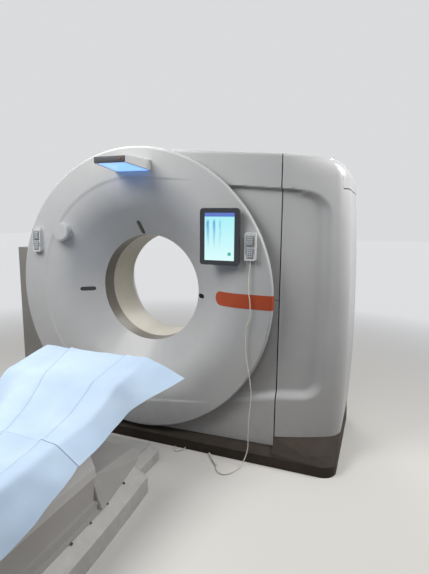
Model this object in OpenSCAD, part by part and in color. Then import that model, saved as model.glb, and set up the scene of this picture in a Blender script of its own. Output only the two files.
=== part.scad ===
// Computed tomography scanner: a round-faced ring gantry and its patient table.
// The origin is on the floor below the centre of the scan plane. +X is to the right of
// someone who faces the gantry from the table, +Y runs along the bore to the rear, +Z is up.
// A section drawn as [radius, depth] is turned about the bore axis by turned().

/* [Bore] */
// Radius of the patient bore
bore_r = 350; // [335:1:356]
// Height of the bore axis above the floor
iso_z = 974; // [960:1:1000]
// Width of the scan window ring
window_w = 105; // [90:1:116]
// Length of the pale tunnel behind the window
liner_len = 255; // [200:1:290]
// Wall of the window ring and of the tunnel
liner_t = 5; // [4:0.5:8]

/* [Front disc] */
// Radius of the round front
disc_r = 871; // [868:1:890]
// Depth position of the flat face of the disc
disc_y = -240; // [-252:1:-236]
// Depth of the rim of the disc
disc_t = 30; // [26:1:32]
// Rounding of the edge of the disc
lip_r = 12; // [6:1:18]
// Wall of the moulded covers
shell_t = 6; // [4:0.5:7]
// Radius of the joint between the outer ring and the inner face
dish_r = 688; // [665:1:695]
// Slope of the lower joint line that runs out to the right, degrees
joint_slope = 6.5; // [4:0.5:8]
// Slope of the upper joint line that runs out to the right, degrees
upper_joint_slope = 4; // [2:0.5:6]
// Width of that joint
joint_w = 5; // [3:0.5:7]
// Radius where the funnel would meet the flat face
funnel_r = 600; // [580:1:610]
// Length of the soft bend between face and funnel
funnel_blend = 110; // [80:1:120]

/* [Laser windows] */
// Width of a laser window
laser_w = 27; // [20:1:32]
// Length of the left window
laser_left_len = 84; // [60:1:90]
// Radius at which the left window starts
laser_left_r = 398; // [385:1:410]
// Length of the upper window
laser_top_len = 86; // [70:1:95]
// Length of the right window
laser_right_len = 50; // [40:1:60]
// Distance of the upper and right windows from the edge of the bore
laser_rim_gap = 4; // [3:0.5:8]
// Distance of the left and right windows below the bore axis
laser_drop = 25; // [15:1:35]
// Direction of the upper window as seen from the front, degrees
laser_top_angle = 95.5; // [93:0.5:98]

/* [Housing] */
// Step from the disc in to the drum-shaped wall behind it
drum_step = 5; // [3:1:9]
// Furthest the right side stands from the bore axis
side_x = 1262; // [1240:1:1285]
// Height at which the right side is widest above the bore axis
side_up = -334; // [-380:1:-290]
// Radius of the upper right corner
corner_r = 115; // [90:1:140]
// Fall of the roof towards the right, degrees
roof_slope = 4.2; // [3:0.1:5]
// Gap from the back of the disc to the front panels at the bore axis
panel_gap = 6; // [4:1:12]
// Angle in plan of the front panels, degrees
panel_turn = 2.3; // [1.5:0.1:3]
// Place of the upright seam between the middle and right covers
seam_x = 887; // [870:1:904]
// Angle in plan of the right cover at that seam, degrees
cover_turn = 15.5; // [13:0.5:18]
// Sweep in plan of the soft bend of the right cover's front, degrees
bend_sweep = 11.5; // [9:0.5:14]
// Radius in plan of the corner from that front to the side
side_bend_r = 116; // [100:1:135]
// Step from the disc in to the hole in the middle covers behind it
panel_step = 46; // [36:1:56]
// Height of the joint between the upper and lower middle covers above the bore axis
split_up = -3; // [-30:1:30]
// Depth position of the rear face
rear_y = 620; // [600:1:640]
// Width of the joints between covers
cover_gap = 4; // [2:0.5:6]
// Radius where the rear funnel would meet the rear face
rear_funnel_r = 530; // [515:1:545]
// Length of the soft bend of the rear funnel
rear_blend = 80; // [60:1:90]
// Depth position of the front of the roof cover
roof_y = -20; // [-40:1:0]
// Height of the joint between right cover and roof cover above the bore axis
roof_up = 626; // [586:1:656]
// Width of the lips that run behind the joints
lip_w = 16; // [10:1:24]

/* [Plinth and pillar] */
// Height of the lower edge of the middle covers
cover_z = 98; // [96:1:104]
// Height up to which the plinth stands upright
plinth_face_h = 62; // [50:1:70]
// Height of the raised right end of the plinth
plinth_end_h = 156; // [145:1:165]
// Right end of the plinth
plinth_x = 1250; // [1230:1:1265]
// Radius of the front right corner of the plinth
plinth_r = 85; // [60:1:100]
// Wall of the plinth
plinth_wall = 88; // [60:1:100]
// Outer face of the lower left cover
pillar_x = 1100; // [1080:1:1120]
// Inner end of the lower left cover under the drum
pillar_end_x = 250; // [220:1:300]
// Height of the lower left cover
pillar_h = 1208; // [1180:1:1230]
// Front of the lower left cover
pillar_y = -60; // [-80:1:-40]
// Depth of the lower left cover
pillar_d = 620; // [580:1:650]

/* [Front fittings] */
// Width of the tablet
tablet_w = 231; // [210:1:240]
// Height of the tablet
tablet_h = 313; // [295:1:325]
// Thickness of the tablet
tablet_t = 20; // [14:1:24]
// Place of the tablet's centre
tablet_x = 571; // [560:1:580]
// Height of the tablet's centre above the bore axis
tablet_up = 354; // [341:1:366]
// Distance from the disc to the back of the tablet
dock_t = 24; // [18:1:30]
// Diameter of the empty round dock on the left
blank_dock_d = 112; // [95:1:125]
// Width of a remote control's holder
holder_w = 62; // [56:1:66]
// Height of a remote control's holder
holder_h = 150; // [140:1:156]
// Depth of a remote control's holder
holder_d = 32; // [26:1:38]
// Distance of the right holder from the bore axis
holder_right_x = 745; // [735:1:750]
// Distance of the left holder from the bore axis
holder_left_x = 727; // [715:1:740]
// Height of the middle of both holders above the bore axis
holder_up = 302; // [291:1:311]
// Height of the orange field
badge_h = 82; // [70:1:90]
// Left end of the orange field
badge_x = 512; // [495:1:530]
// Height of the middle of the orange field above the bore axis
badge_up = -6; // [-19:1:11]

/* [Light hood] */
// Width of the hood
hood_w = 200; // [190:1:212]
// Reach of the hood in front of the disc
hood_reach = 240; // [200:1:260]
// Width of the hood at its root on the disc
hood_root_w = 246; // [236:1:256]
// Height of the front edge of the hood
hood_h = 36; // [32:1:42]
// Height of the hood at its root on the disc
hood_root_h = 60; // [52:1:66]
// Height of the hood's front underside above the bore axis
hood_up = 748; // [736:1:760]
// Rise of the hood from its root to its front edge
hood_rise = 21; // [10:1:28]
// Place of the middle of the hood
hood_x = 6; // [0:1:12]
// Thickness of the hood's walls
hood_t = 12; // [9:1:14]

/* [Frame] */
// Inner face of the uprights
post_in = 690; // [680:1:700]
// Width of the uprights
post_w = 160; // [140:1:170]
// Depth position of the uprights
frame_y = 180; // [180:1:190]
// Depth of the uprights
post_d = 140; // [120:1:160]
// Height of the uprights above the bore axis
post_up = 160; // [120:1:200]
// Front of the base frame
base_y = 40; // [20:1:60]
// Depth of the base frame
base_d = 460; // [420:1:470]
// Left end of the base frame
base_left_x = 1040; // [1000:1:1080]
// Right end of the base frame
base_right_x = 1130; // [1100:1:1150]
// Height of the levelling feet
foot_h = 20; // [14:1:26]
// Distance of the fans' axes from the right side
fan_inset = 182; // [170:1:200]
// Height of the lower fan
fan_z = 950; // [900:1:1000]
// Distance between the fans
fan_step = 300; // [230:1:340]
// Radius of the fans
fan_r = 92; // [80:1:98]
// Height of the top of the power unit
unit_top = 1380; // [1250:10:1450]

/* [Rotating part] */
// Radius of the rotor plate
rotor_r = 780; // [765:1:790]
// Depth position of the rotor plate
rotor_y = 60; // [55:1:65]
// Thickness of the rotor plate
rotor_t = 20; // [16:1:24]
// Outer radius of the bearing's inner ring
bearing_r = 600; // [592:1:606]
// Radius of the belt rim on the rotor
rim_r = 620; // [610:1:630]
// Radius of the motor pulley
pulley_r = 60; // [50:1:66]
// Distance of the motor from the bore axis
motor_reach = 775; // [768:1:782]
// Direction of the motor below the horizontal, degrees
motor_angle = 50; // [45:1:55]
// Radius of the motor
motor_r = 78; // [70:1:84]
// Inner radius of the rotor plate
rotor_in_r = 400; // [390:1:410]
// Radius of the slip ring drum
slip_r = 540; // [530:1:548]
// Distance of the x-ray focus from the bore axis
focus_r = 620; // [600:1:630]
// Distance of the detector from the focus
detector_r = 1060; // [1045:1:1075]
// Half angle of the detector, degrees
detector_half = 28; // [25:1:29]
// Width of the drive belt
belt_w = 36; // [30:1:40]

/* [Table base] */
// Half width of the table skirt at its front corners
skirt_x = 345; // [330:1:355]
// Half width of the table skirt at its widest
skirt_max_x = 392; // [380:1:400]
// Height of the skirt's upright side
skirt_h = 90; // [80:1:100]
// Height of the seam between skirt and upper cover
seam_z = 130; // [122:1:138]
// Width of the skirt's sloped shoulder at the rear
shoulder_w = 72; // [66:1:78]
// Front of the table skirt
skirt_y = -645; // [-655:1:-640]
// Length of the table skirt
skirt_len = 2115; // [2060:1:2160]
// Height of the fixed upper cover
core_h = 285; // [276:1:288]
// Distance from the skirt's front back to the lifting carriage
carriage_back = 420; // [395:1:440]
// Length of the lifting carriage
carriage_len = 1575; // [1500:1:1600]
// Distance from the skirt's front back to the lift column's axis
column_back = 1205; // [1155:1:1255]
// Half width of the lift column
column_x = 150; // [135:1:160]
// Half depth of the lift column
column_d = 200; // [180:1:220]
// Wall of the lift tubes
tube_t = 8; // [6:0.5:10]
// Distance of the slide rails from the middle
rail_x = 160; // [150:1:161]
// Radius of the feed pulley
feed_r = 25; // [20:1:30]

/* [Table top] */
// Gap between the fixed cover and the lowered carriage
carriage_gap = 5; // [3:0.5:9]
// Height of the carriage
carriage_h = 105; // [98:1:112]
// Thickness of the table top
top_t = 58; // [50:1:64]
// Width of the table top
top_w = 480; // [450:1:490]
// Length of the table top
top_len = 2350; // [2250:1:2400]
// Distance from the skirt's front back to the head end of the table top
top_back = 15; // [0:1:35]
// Thickness of the mattress
mattress_t = 40; // [30:1:50]
// Width of the mattress
mattress_w = 424; // [400:1:436]
// Height of the head support
pillow_h = 216; // [190:1:226]
// Width of the head support
pillow_w = 500; // [460:1:520]
// Length of the head support
pillow_len = 440; // [400:1:460]
// Reach of the head support beyond the skirt's front
pillow_reach = 85; // [70:1:100]
// Reach of the sheet beyond the skirt's front
sheet_reach = 105; // [100:1:115]
// Length of the sheet on the table
sheet_len = 2020; // [1900:1:2050]

/* [Hidden] */
fit_gap = 0.3;
run_gap = 0.05;
seat_gap = 0.6;
big_fn = 180;
mid_fn = 72;
small_fn = 40;
soft_white = "#d9dcdc";
panel_white = "#c9cbc9";
dark_grey = "#5d5853";
steel = "#8b9197";

window_y0 = -window_w / 2;
window_y1 = window_w / 2;
liner_y0 = window_y1 + seat_gap;
liner_y1 = liner_y0 + liner_len;
rim_y = window_y0 - seat_gap;
disc_back_y = disc_y + disc_t;
cover_end_y = rear_y - shell_t - fit_gap;
flange_y = disc_back_y + fit_gap;
holder_y = disc_y - holder_d;
tablet_y = disc_y - dock_t - tablet_t;
drum_r = disc_r - drum_step;
panel_hole_r = disc_r - panel_step;
panel_y = disc_back_y + panel_gap;
split_z = iso_z + split_up;
side_z = iso_z + side_up;
roof_z = iso_z + roof_up;
tablet_z = iso_z + tablet_up;
holder_z = iso_z + holder_up;
badge_z = iso_z + badge_up;
hood_z = iso_z + hood_up;
plinth_h = cover_z - fit_gap;

function flipped(points) = [for (i = [len(points) - 1 : -1 : 0]) points[i]];
function arc_about(centre, r, from, to, n) =
    [for (i = [0 : n]) let (a = from + (to - from) * i / n) centre + r * [cos(a), sin(a)]];
// A left-hand bend that starts at a point with a heading, without its first point
function bend_from(start, heading, r, sweep, n) =
    [for (i = [1 : n]) let (t = sweep * i / n)
        start + r * [sin(heading + t) - sin(heading), cos(heading) - cos(heading + t)]];
function left_of(heading) = [-sin(heading), cos(heading)];

module turned(section, fn = big_fn) {
    translate([0, 0, iso_z]) rotate([-90, 0, 0]) rotate_extrude($fn = fn) polygon(section);
}
module ring(inner, outer, y0, y1) {
    turned([[inner, y0], [outer, y0], [outer, y1], [inner, y1]]);
}
// Pushes an outline drawn in the X-Z plane along +Y from one depth to another
module upright(y0, y1) {
    translate([0, y1, 0]) rotate([90, 0, 0]) linear_extrude(y1 - y0) children();
}
module box(low, high) {
    translate(low) cube(high - low);
}
module bar_y(centre, r, y0, y1, fn = mid_fn) {
    translate([centre[0], y0, centre[1]]) rotate([-90, 0, 0]) cylinder(r = r, h = y1 - y0, $fn = fn);
}
module round_rect(w, h, r) {
    square([w - 2 * r, h], center = true);
    square([w, h - 2 * r], center = true);
    for (sx = [-1, 1], sz = [-1, 1])
        translate([sx * (w / 2 - r), sz * (h / 2 - r)]) circle(r = r, $fn = small_fn);
}

// The front disc: its flat face, the soft bend and the funnel down to the bore
funnel_tilt = atan((rim_y - disc_y) / (funnel_r - bore_r));
blend_r = funnel_blend / tan(funnel_tilt / 2);
blend_centre = [funnel_r + funnel_blend, disc_y + blend_r];
funnel_curve = concat([[bore_r, rim_y]],
    arc_about(blend_centre, blend_r, -90 - funnel_tilt, -90, 8));
face_curve = concat(funnel_curve,
    arc_about([disc_r - lip_r, disc_y + lip_r], lip_r, -90, 0, 6));
function moved(points, dy) = [for (p = points) [p[0], p[1] + dy]];
face_inner = concat([[bore_r + shell_t / tan(funnel_tilt), rim_y]],
    [for (i = [1 : len(funnel_curve) - 1]) funnel_curve[i] + [0, shell_t]],
    [[disc_r - shell_t - lip_r / 2, disc_y + shell_t], [disc_r - shell_t, disc_y + lip_r]]);
face_section = concat(face_curve, [[disc_r, disc_back_y], [disc_r - shell_t, disc_back_y]],
    flipped(face_inner));
// Everything behind the face, used to seat fittings on its curved surface
behind_face = concat(moved(face_curve, -fit_gap),
    [[disc_r, disc_back_y + 60], [bore_r, disc_back_y + 240]]);
joint_r = dish_r + joint_w;

// Outline of the inner face: a disc that runs out to the right between two straight joints
module face_outline(r) {
    far = disc_r + 60;
    low = r * [sin(joint_slope), -cos(joint_slope)];
    high = r * [sin(upper_joint_slope), cos(upper_joint_slope)];
    translate([0, iso_z]) circle(r = r, $fn = big_fn);
    translate([0, iso_z]) polygon([[0, 0], high,
        [far, high[1] - (far - high[0]) * tan(upper_joint_slope)],
        [far, low[1] + (far - low[0]) * tan(joint_slope)], low]);
}
// The opening in the ring that the root of the light hood passes through
module hood_window(grow) {
    translate([hood_x - hood_root_w / 2 - grow, hood_z - hood_rise - grow])
        square([hood_root_w + 2 * grow, hood_root_h + 2 * grow]);
}
module laser_outline(grow) {
    laser_slot(180, laser_left_r, laser_left_len, grow, laser_drop);
    laser_slot(laser_top_angle, bore_r + laser_rim_gap, laser_top_len, grow, 0);
    laser_slot(0, bore_r + laser_rim_gap, laser_right_len, grow, laser_drop);
}
module laser_slot(angle, start_r, length, grow, drop) {
    r = laser_w / 2;
    translate([0, iso_z - drop]) rotate(angle) {
        for (at = [start_r + r, start_r + length - r])
            translate([at, 0]) circle(r = r + grow, $fn = small_fn);
        translate([start_r + r, -r - grow]) square([length - 2 * r, 2 * (r + grow)]);
    }
}
module front_face() color(soft_white) difference() {
    intersection() {
        turned(face_section);
        upright(disc_y - 5, rim_y + 5) face_outline(dish_r);
    }
    upright(disc_y - 5, rim_y + 20) laser_outline(fit_gap);
}
module front_ring() color(soft_white) difference() {
    turned(face_section);
    upright(disc_y - 5, rim_y + 5) face_outline(joint_r);
    upright(disc_y - 5, disc_back_y + 5) hood_window(hood_room);
}
module laser_windows() color("#15171a") intersection() {
    turned(concat(moved(funnel_curve, -0.6), flipped(moved(funnel_curve, 4))));
    upright(disc_y - 5, rim_y + 20) laser_outline(0);
}
module scan_window() color("#6f6960") ring(bore_r, bore_r + liner_t, window_y0, window_y1);
module bore_liner() color("#cfc9b9") turned([[bore_r, liner_y0], [bore_r + liner_t, liner_y0],
    [bore_r + liner_t, liner_y1], [bore_r, liner_y1]]);

// The housing seen from the front: a drum with a tall box to its right
lower_heading = 86.5;
upper_heading = 94.6;
roof_heading = 180 - roof_slope;
roof_touch = [drum_r * sin(roof_slope), iso_z + drum_r * cos(roof_slope)];
upper_rise = (roof_touch[1] - side_z - corner_r * (cos(upper_heading) - cos(roof_heading))
    - (side_x + corner_r * (sin(roof_heading) - sin(upper_heading)) - roof_touch[0])
    * tan(roof_slope)) / (1 - (1 - sin(upper_heading)) / -cos(upper_heading) * tan(roof_slope));
lower_r = (side_z - cover_z) / cos(lower_heading);
upper_r = upper_rise / -cos(upper_heading);
function side_curve(off) = let (
        start = [side_x - lower_r * (1 - sin(lower_heading)), cover_z] + off * left_of(lower_heading),
        lower = bend_from(start, lower_heading, lower_r - off, 90 - lower_heading, 4),
        upper = bend_from(lower[3], 90, upper_r - off, upper_heading - 90, 6),
        corner = bend_from(upper[5], upper_heading, corner_r - off, roof_heading - upper_heading, 8))
    concat([start], lower, upper, corner);
module housing_outline(off, low_z) {
    intersection() {
        union() {
            translate([0, iso_z]) circle(r = drum_r - off, $fn = big_fn);
            polygon(concat([[0, low_z], [side_curve(off)[0][0], low_z]], side_curve(off),
                [[0, iso_z] + (drum_r - off) * [sin(roof_slope), cos(roof_slope)], [0, iso_z]]));
        }
        translate([-drum_r - 1, low_z]) square([drum_r + side_x + 2, 3000]);
    }
}
// The housing seen from above: flat front panels, a cover that turns back from them at
// the seam with a soft bend, and a round corner into the right side
seam_point = [seam_x, panel_y + seam_x * tan(panel_turn)];
bend_heading = cover_turn + bend_sweep;
bend_r = (side_x - side_bend_r * (1 - sin(bend_heading)) - seam_x)
    / (sin(bend_heading) - sin(cover_turn));
function plan_curve(off) = let (
        n0 = left_of(panel_turn),
        n1 = left_of(cover_turn),
        first = bend_from(seam_point + off * n1, cover_turn, bend_r - off, bend_sweep, 8),
        last = bend_from(first[7], bend_heading, side_bend_r - off, 90 - bend_heading, 8))
    concat([[0, panel_y] + off * n0, seam_point + off * (n0 + n1) / (1 + n0 * n1)], first, last);
module plan_region(off, back_y) {
    curve = plan_curve(off);
    polygon(concat(curve, [[curve[len(curve) - 1][0], back_y], [curve[0][0], back_y]]));
}
module housing_body(off, low_z, back_y) {
    intersection() {
        translate([0, 0, low_z - 1]) linear_extrude(2200) plan_region(off, back_y);
        upright(panel_y - 10, back_y) housing_outline(off, low_z);
    }
}
module housing_layer(outer, inner, low_z) {
    difference() {
        housing_body(outer, low_z, cover_end_y);
        housing_body(inner, low_z - 10, cover_end_y + 10);
    }
}
// A cover is a cut from the outer layer, with lips that run on behind the next cover
module cover_with_lips(low_z, low, high, lip_low, lip_high) {
    intersection() {
        housing_layer(0, shell_t, low_z);
        box(low, high);
    }
    intersection() {
        housing_layer(shell_t + fit_gap, shell_t + lip_t, low_z);
        box(lip_low, lip_high);
    }
    intersection() {
        housing_layer(shell_t - 1, shell_t + lip_t, low_z);
        box([max(low[0], lip_low[0]), max(low[1], lip_low[1]), max(low[2], lip_low[2])],
            [min(high[0], lip_high[0]), min(high[1], lip_high[1]), min(high[2], lip_high[2])]);
    }
}
lip_t = 4;
mid_x0 = roof_touch[0];
mid_x1 = seam_x - cover_gap / 2;
mid_y1 = roof_y - cover_gap;
tall = 2400;
module mid_cut() {
    ring(0, panel_hole_r, panel_y - 20, roof_y);
}
module mid_upper_cover() color(panel_white) difference() {
    cover_with_lips(cover_z, [mid_x0, panel_y - 10, split_z + cover_gap / 2], [mid_x1, mid_y1, tall],
        [panel_hole_r, panel_y - 10, split_z - lip_w],
        [mid_x1 - lip_w - cover_gap, roof_y - lip_w - cover_gap, split_z + lip_w]);
    mid_cut();
}
module mid_lower_cover() color(panel_white) difference() {
    intersection() {
        housing_layer(0, shell_t, cover_z);
        box([mid_x0, panel_y - 10, cover_z], [mid_x1, mid_y1, split_z - cover_gap / 2]);
    }
    mid_cut();
}
module right_cover() color(panel_white) {
    difference() {
        cover_with_lips(plinth_end_h + fit_gap,
            [seam_x + cover_gap / 2, panel_y - 10, 0], [side_x + 10, rear_y, tall],
            [seam_x - lip_w, panel_y - 10, 0],
            [seam_x + lip_w, roof_y - lip_w - cover_gap, tall]);
        box([seam_x - lip_w - 10, roof_y - cover_gap, roof_z - cover_gap],
            [side_x + 20, rear_y + 10, tall]);
    }
}
module roof_cover() color(panel_white) {
    cover_with_lips(cover_z, [mid_x0, roof_y, roof_z], [side_x + 10, rear_y, tall],
        [mid_x0, roof_y - lip_w, roof_z], [side_x + 10, roof_y + lip_w, tall]);
    intersection() {
        housing_layer(shell_t + fit_gap, shell_t + lip_t, cover_z);
        box([seam_x, roof_y, roof_z - lip_w], [side_x + 10, rear_y, roof_z]);
    }
    intersection() {
        housing_layer(shell_t - 1, shell_t + lip_t, cover_z);
        box([seam_x, roof_y, roof_z], [side_x + 10, rear_y, roof_z + lip_w]);
    }
}
// The drum-shaped wall on the left, with a collar that closes the gap behind the disc
collar_r = panel_hole_r - 20;
collar_d = 110;
module drum_cover() color(panel_white) difference() {
    union() {
        difference() {
            ring(drum_r - shell_t, drum_r, flange_y, cover_end_y);
            box([mid_x0 - fit_gap, flange_y - 10, -10], [drum_r + 10, rear_y + 10, tall]);
        }
        difference() {
            ring(collar_r - shell_t, drum_r, flange_y, flange_y + shell_t);
            box([mid_x0 - fit_gap, flange_y - 10, -10], [drum_r + 10, rear_y + 10, tall]);
        }
        ring(collar_r - shell_t, collar_r, flange_y, flange_y + collar_d);
    }
    left_base_hollow();
}
// The dark cover on the lower left, open to the frame inside
module left_base_hollow() {
    box([-pillar_x + shell_t, pillar_y + shell_t, -10],
        [-pillar_end_x, pillar_y + pillar_d - shell_t, pillar_h - shell_t]);
}
module left_base_cover() color("#6d6c6b") difference() {
    box([-pillar_x, pillar_y, 0], [-pillar_end_x - fit_gap, pillar_y + pillar_d, pillar_h]);
    left_base_hollow();
    ring(0, drum_r + fit_gap, pillar_y - 10, pillar_y + pillar_d + 10);
}
rear_tilt = atan((rear_y - liner_y1 - seat_gap) / (rear_funnel_r - bore_r));
rear_blend_r = rear_blend / tan(rear_tilt / 2);
rear_curve = concat([[bore_r, liner_y1 + seat_gap]],
    arc_about([rear_funnel_r + rear_blend, rear_y - rear_blend_r], rear_blend_r,
        90 + rear_tilt, 90, 8));
module rear_cover() color(panel_white) {
    outer_r = rear_funnel_r + rear_blend;
    turned(concat(rear_curve, [[outer_r + 8, rear_y], [outer_r + 8, rear_y - shell_t]],
        flipped([for (i = [1 : len(rear_curve) - 1]) rear_curve[i] - [0, shell_t]]),
        [[bore_r + shell_t / tan(rear_tilt), liner_y1 + seat_gap]]));
    upright(rear_y - shell_t, rear_y) difference() {
        housing_outline(0, cover_z);
        translate([0, iso_z]) circle(r = outer_r + 4, $fn = big_fn);
        for (z = fan_heights) translate([fan_x, z]) fan_openings();
    }
    for (z = fan_heights) fan_pin(z);
}
fan_heights = [fan_z, fan_z + fan_step];
fan_x = side_x - fan_inset;
fan_room = 6;
fan_t = 30;
fan_y = rear_y - shell_t - fan_t - 10;
fan_hub_r = 26;
fan_pin_r = 5;
fan_blades = 7;
fan_spoke_w = 6;
fan_wire_w = 4;
// What is open in the guard: all but its spokes, its two rings and its hub
module fan_openings() difference() {
    circle(r = fan_r + fan_room, $fn = mid_fn);
    for (a = [0, 60, 120]) rotate(a) square([2 * (fan_r + fan_room) + 2, fan_spoke_w], center = true);
    for (part = [0.37, 0.7]) difference() {
        circle(r = fan_r * part + fan_wire_w / 2, $fn = small_fn);
        circle(r = fan_r * part - fan_wire_w / 2, $fn = small_fn);
    }
    circle(r = 2 * fan_pin_r + fan_wire_w / 2, $fn = small_fn);
}
// The stepped pin that carries a fan, from the guard's hub
module fan_pin(z) {
    bar_y([fan_x, z], 2 * fan_pin_r, fan_y + fan_t + 1, rear_y - shell_t / 2);
    bar_y([fan_x, z], fan_pin_r, fan_y, fan_y + fan_t + 2);
}
module fan_at(z) {
    difference() {
        union() {
            bar_y([fan_x, z], fan_hub_r, fan_y, fan_y + fan_t);
            for (i = [0 : fan_blades - 1])
                translate([fan_x, fan_y + fan_t / 2, z]) rotate([0, i * 360 / fan_blades, 0])
                    translate([(fan_hub_r + fan_r) / 2 - 3, 0, 0]) rotate([32, 0, 0])
                        cube([fan_r - fan_hub_r + 4, 3, fan_t], center = true);
        }
        bar_y([fan_x, z], fan_pin_r + run_gap, fan_y - 1, fan_y + fan_t + 1);
    }
}
module fan_upper() color("#30333a") fan_at(fan_heights[1]);
module fan_lower() color("#30333a") fan_at(fan_heights[0]);

// The plinth: an upright dark skirt that slopes back to the covers above it
plinth_x0 = -pillar_end_x + fit_gap;
plinth_y1 = cover_end_y - 30;
plinth_back = 34;
floor_t = 4;
module plinth_plan(off) {
    translate([plinth_x0, disc_y + off])
        square([plinth_x - plinth_r - plinth_x0, plinth_y1 - disc_y - off]);
    translate([plinth_x0, disc_y + plinth_r])
        square([plinth_x - off - plinth_x0, plinth_y1 - disc_y - plinth_r]);
    translate([plinth_x - plinth_r, disc_y + plinth_r]) circle(r = plinth_r - off, $fn = mid_fn);
}
module plinth_end_plan() {
    intersection() {
        plan_region(shell_t / 2, plinth_y1);
        translate([0, disc_y]) square([plinth_x - shell_t, plinth_y1 - disc_y]);
    }
}
// The hollow inside the plinth, which follows the front of the right cover at its end
module plinth_hollow_plan() {
    back_y = plinth_y1 - plinth_wall / 2;
    translate([plinth_x0 - 1, disc_y + plinth_wall])
        square([seam_x - plinth_x0, back_y - disc_y - plinth_wall]);
    intersection() {
        plan_region(plinth_wall - plinth_back, back_y);
        translate([0, disc_y + plinth_wall])
            square([plinth_x - plinth_wall, back_y - disc_y - plinth_wall]);
    }
}
module base_plinth() color(dark_grey) difference() {
    union() {
        linear_extrude(plinth_face_h) plinth_plan(0);
        hull() {
            translate([0, 0, plinth_face_h - 1]) linear_extrude(1) plinth_plan(0);
            translate([0, 0, plinth_h - 1]) linear_extrude(1) plinth_plan(plinth_back);
        }
        intersection() {
            hull() {
                translate([0, 0, plinth_face_h - 1]) linear_extrude(1) plinth_plan(0);
                translate([0, 0, plinth_end_h - 1]) linear_extrude(1) plinth_end_plan();
            }
            box([seam_x + cover_gap / 2, disc_y - 10, 0], [plinth_x + 10, plinth_y1, plinth_end_h]);
        }
    }
    translate([0, 0, floor_t]) linear_extrude(plinth_end_h) plinth_hollow_plan();
    for (x = foot_x, y = foot_y) translate([x, y, -1])
        cylinder(r = foot_r + fit_gap, h = foot_h, $fn = small_fn);
}

// Steel frame, bearing and feet
frame_y1 = frame_y + post_d;
post_mid = post_in + post_w / 2;
frame_top = plinth_h - fit_gap;
foot_r = 40;
foot_x = [-base_left_x + 60, -330, 330, base_right_x - 60];
foot_y = [base_y + 50, base_y + base_d - 50];
module gantry_frame() color("#3f4a57") {
    box([-base_left_x, base_y, foot_h], [base_right_x, base_y + base_d, frame_top]);
    for (s = [-1, 1]) {
        box([s * post_mid - post_w / 2, frame_y, frame_top - 1],
            [s * post_mid + post_w / 2, frame_y1, iso_z + post_up]);
        translate([s * post_mid, frame_y1 - 1, frame_top - 1])
            rotate([90, 0, 90]) linear_extrude(30, center = true)
                polygon([[0, 0], [150, 0], [40, 520], [0, 520]]);
    }
}
module levelling_feet() color(steel) for (x = foot_x, y = foot_y)
    translate([x, y, 0]) cylinder(r = foot_r, h = foot_h, $fn = small_fn);
bearing_out_r = post_in + 22;
bearing_t = 30;
bearing_y0 = frame_y - fit_gap - bearing_t;
module bearing_outer_ring() color(steel)
    ring(bearing_r + run_gap, bearing_out_r, bearing_y0, frame_y - fit_gap);

// Everything that turns with the rotor
belt_y0 = bearing_y0 - 16 - belt_w;
belt_y1 = bearing_y0 - 16;
rotor_back = rotor_y + rotor_t;
slip_in_r = slip_r - 60;
slip_end_y = frame_y + 82;
flange_h = 6;
module rotor_drum() color("#a7abae") turned([[rotor_in_r, rotor_y], [rotor_r, rotor_y],
    [rotor_r, rotor_back], [slip_r, rotor_back], [slip_r, belt_y0 - flange_h],
    [rim_r + flange_h, belt_y0 - flange_h], [rim_r + flange_h, belt_y0 - 1], [rim_r, belt_y0 - 1],
    [rim_r, belt_y1 + 1], [rim_r + flange_h, belt_y1 + 1], [rim_r + flange_h, belt_y1 + flange_h],
    [bearing_r, belt_y1 + flange_h], [bearing_r, frame_y], [slip_r, frame_y],
    [slip_r, slip_end_y], [slip_in_r, slip_end_y], [slip_in_r, rotor_back],
    [rotor_in_r, rotor_back]]);
slip_y0 = frame_y + 20;
slip_y1 = frame_y + 60;
module slip_ring() color("#b08a4a") difference() {
    ring(slip_r + fit_gap, bearing_r, slip_y0, slip_y1);
    for (y = [slip_y0 + 10, slip_y0 + 22]) ring(bearing_r - 4, bearing_r + 5, y, y + 6);
}
tube_r = 95;
focus_z = iso_z + focus_r;
mount_y = rotor_y - fit_gap;
module xray_tube() color("#7d8790") {
    bar_y([0, focus_z], tube_r, -140, mount_y);
    bar_y([0, focus_z], tube_r - 25, -158, -139);
    box([-130, rotor_y - 40, focus_z - 60], [130, mount_y, focus_z + 60]);
    bar_y([-60, focus_z + tube_r + 9], 28, -60, 30);
}
collimator_t = 95;
module collimator() color("#4d5257") difference() {
    box([-120, -48, focus_z - tube_r - collimator_t], [120, mount_y, focus_z - tube_r - fit_gap]);
    box([-80, -20, focus_z - tube_r - collimator_t - 10], [80, 20, focus_z - tube_r + 5]);
}
detector_y = -45;
module detector_arc() color("#39424c") translate([0, detector_y, focus_z])
    rotate([-90, 0, 0]) rotate([0, 0, 90 - detector_half])
        rotate_extrude(angle = 2 * detector_half, $fn = big_fn)
            polygon([[detector_r, 0], [detector_r + 60, 0], [detector_r + 60, mount_y - detector_y],
                [detector_r, mount_y - detector_y]]);
module voltage_generator() color("#8e979e") difference() {
    box([520, -120, iso_z - 150], [700, mount_y, iso_z + 150]);
    for (z = [-120 : 40 : 120]) box([560, -121, iso_z + z - 8], [660, -112, iso_z + z + 8]);
}
module tube_cooler() color("#9aa2a8") difference() {
    box([-700, -110, iso_z - 130], [-520, mount_y, iso_z + 130]);
    for (z = [-110 : 20 : 110]) box([-701, -90, iso_z + z - 5], [-660, 40, iso_z + z + 5]);
}
module brush_block() color("#2f3236") difference() {
    box([-post_in + fit_gap, slip_y0, iso_z - 40], [4 - bearing_r, slip_y1, iso_z + 40]);
    ring(0, bearing_r + fit_gap, slip_y0 - 10, slip_y1 + 10);
}
motor_at = [motor_reach * cos(motor_angle), iso_z - motor_reach * sin(motor_angle)];
motor_y0 = frame_y + 6;
motor_y1 = motor_y0 + 160;
shaft_r = 18;
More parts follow.
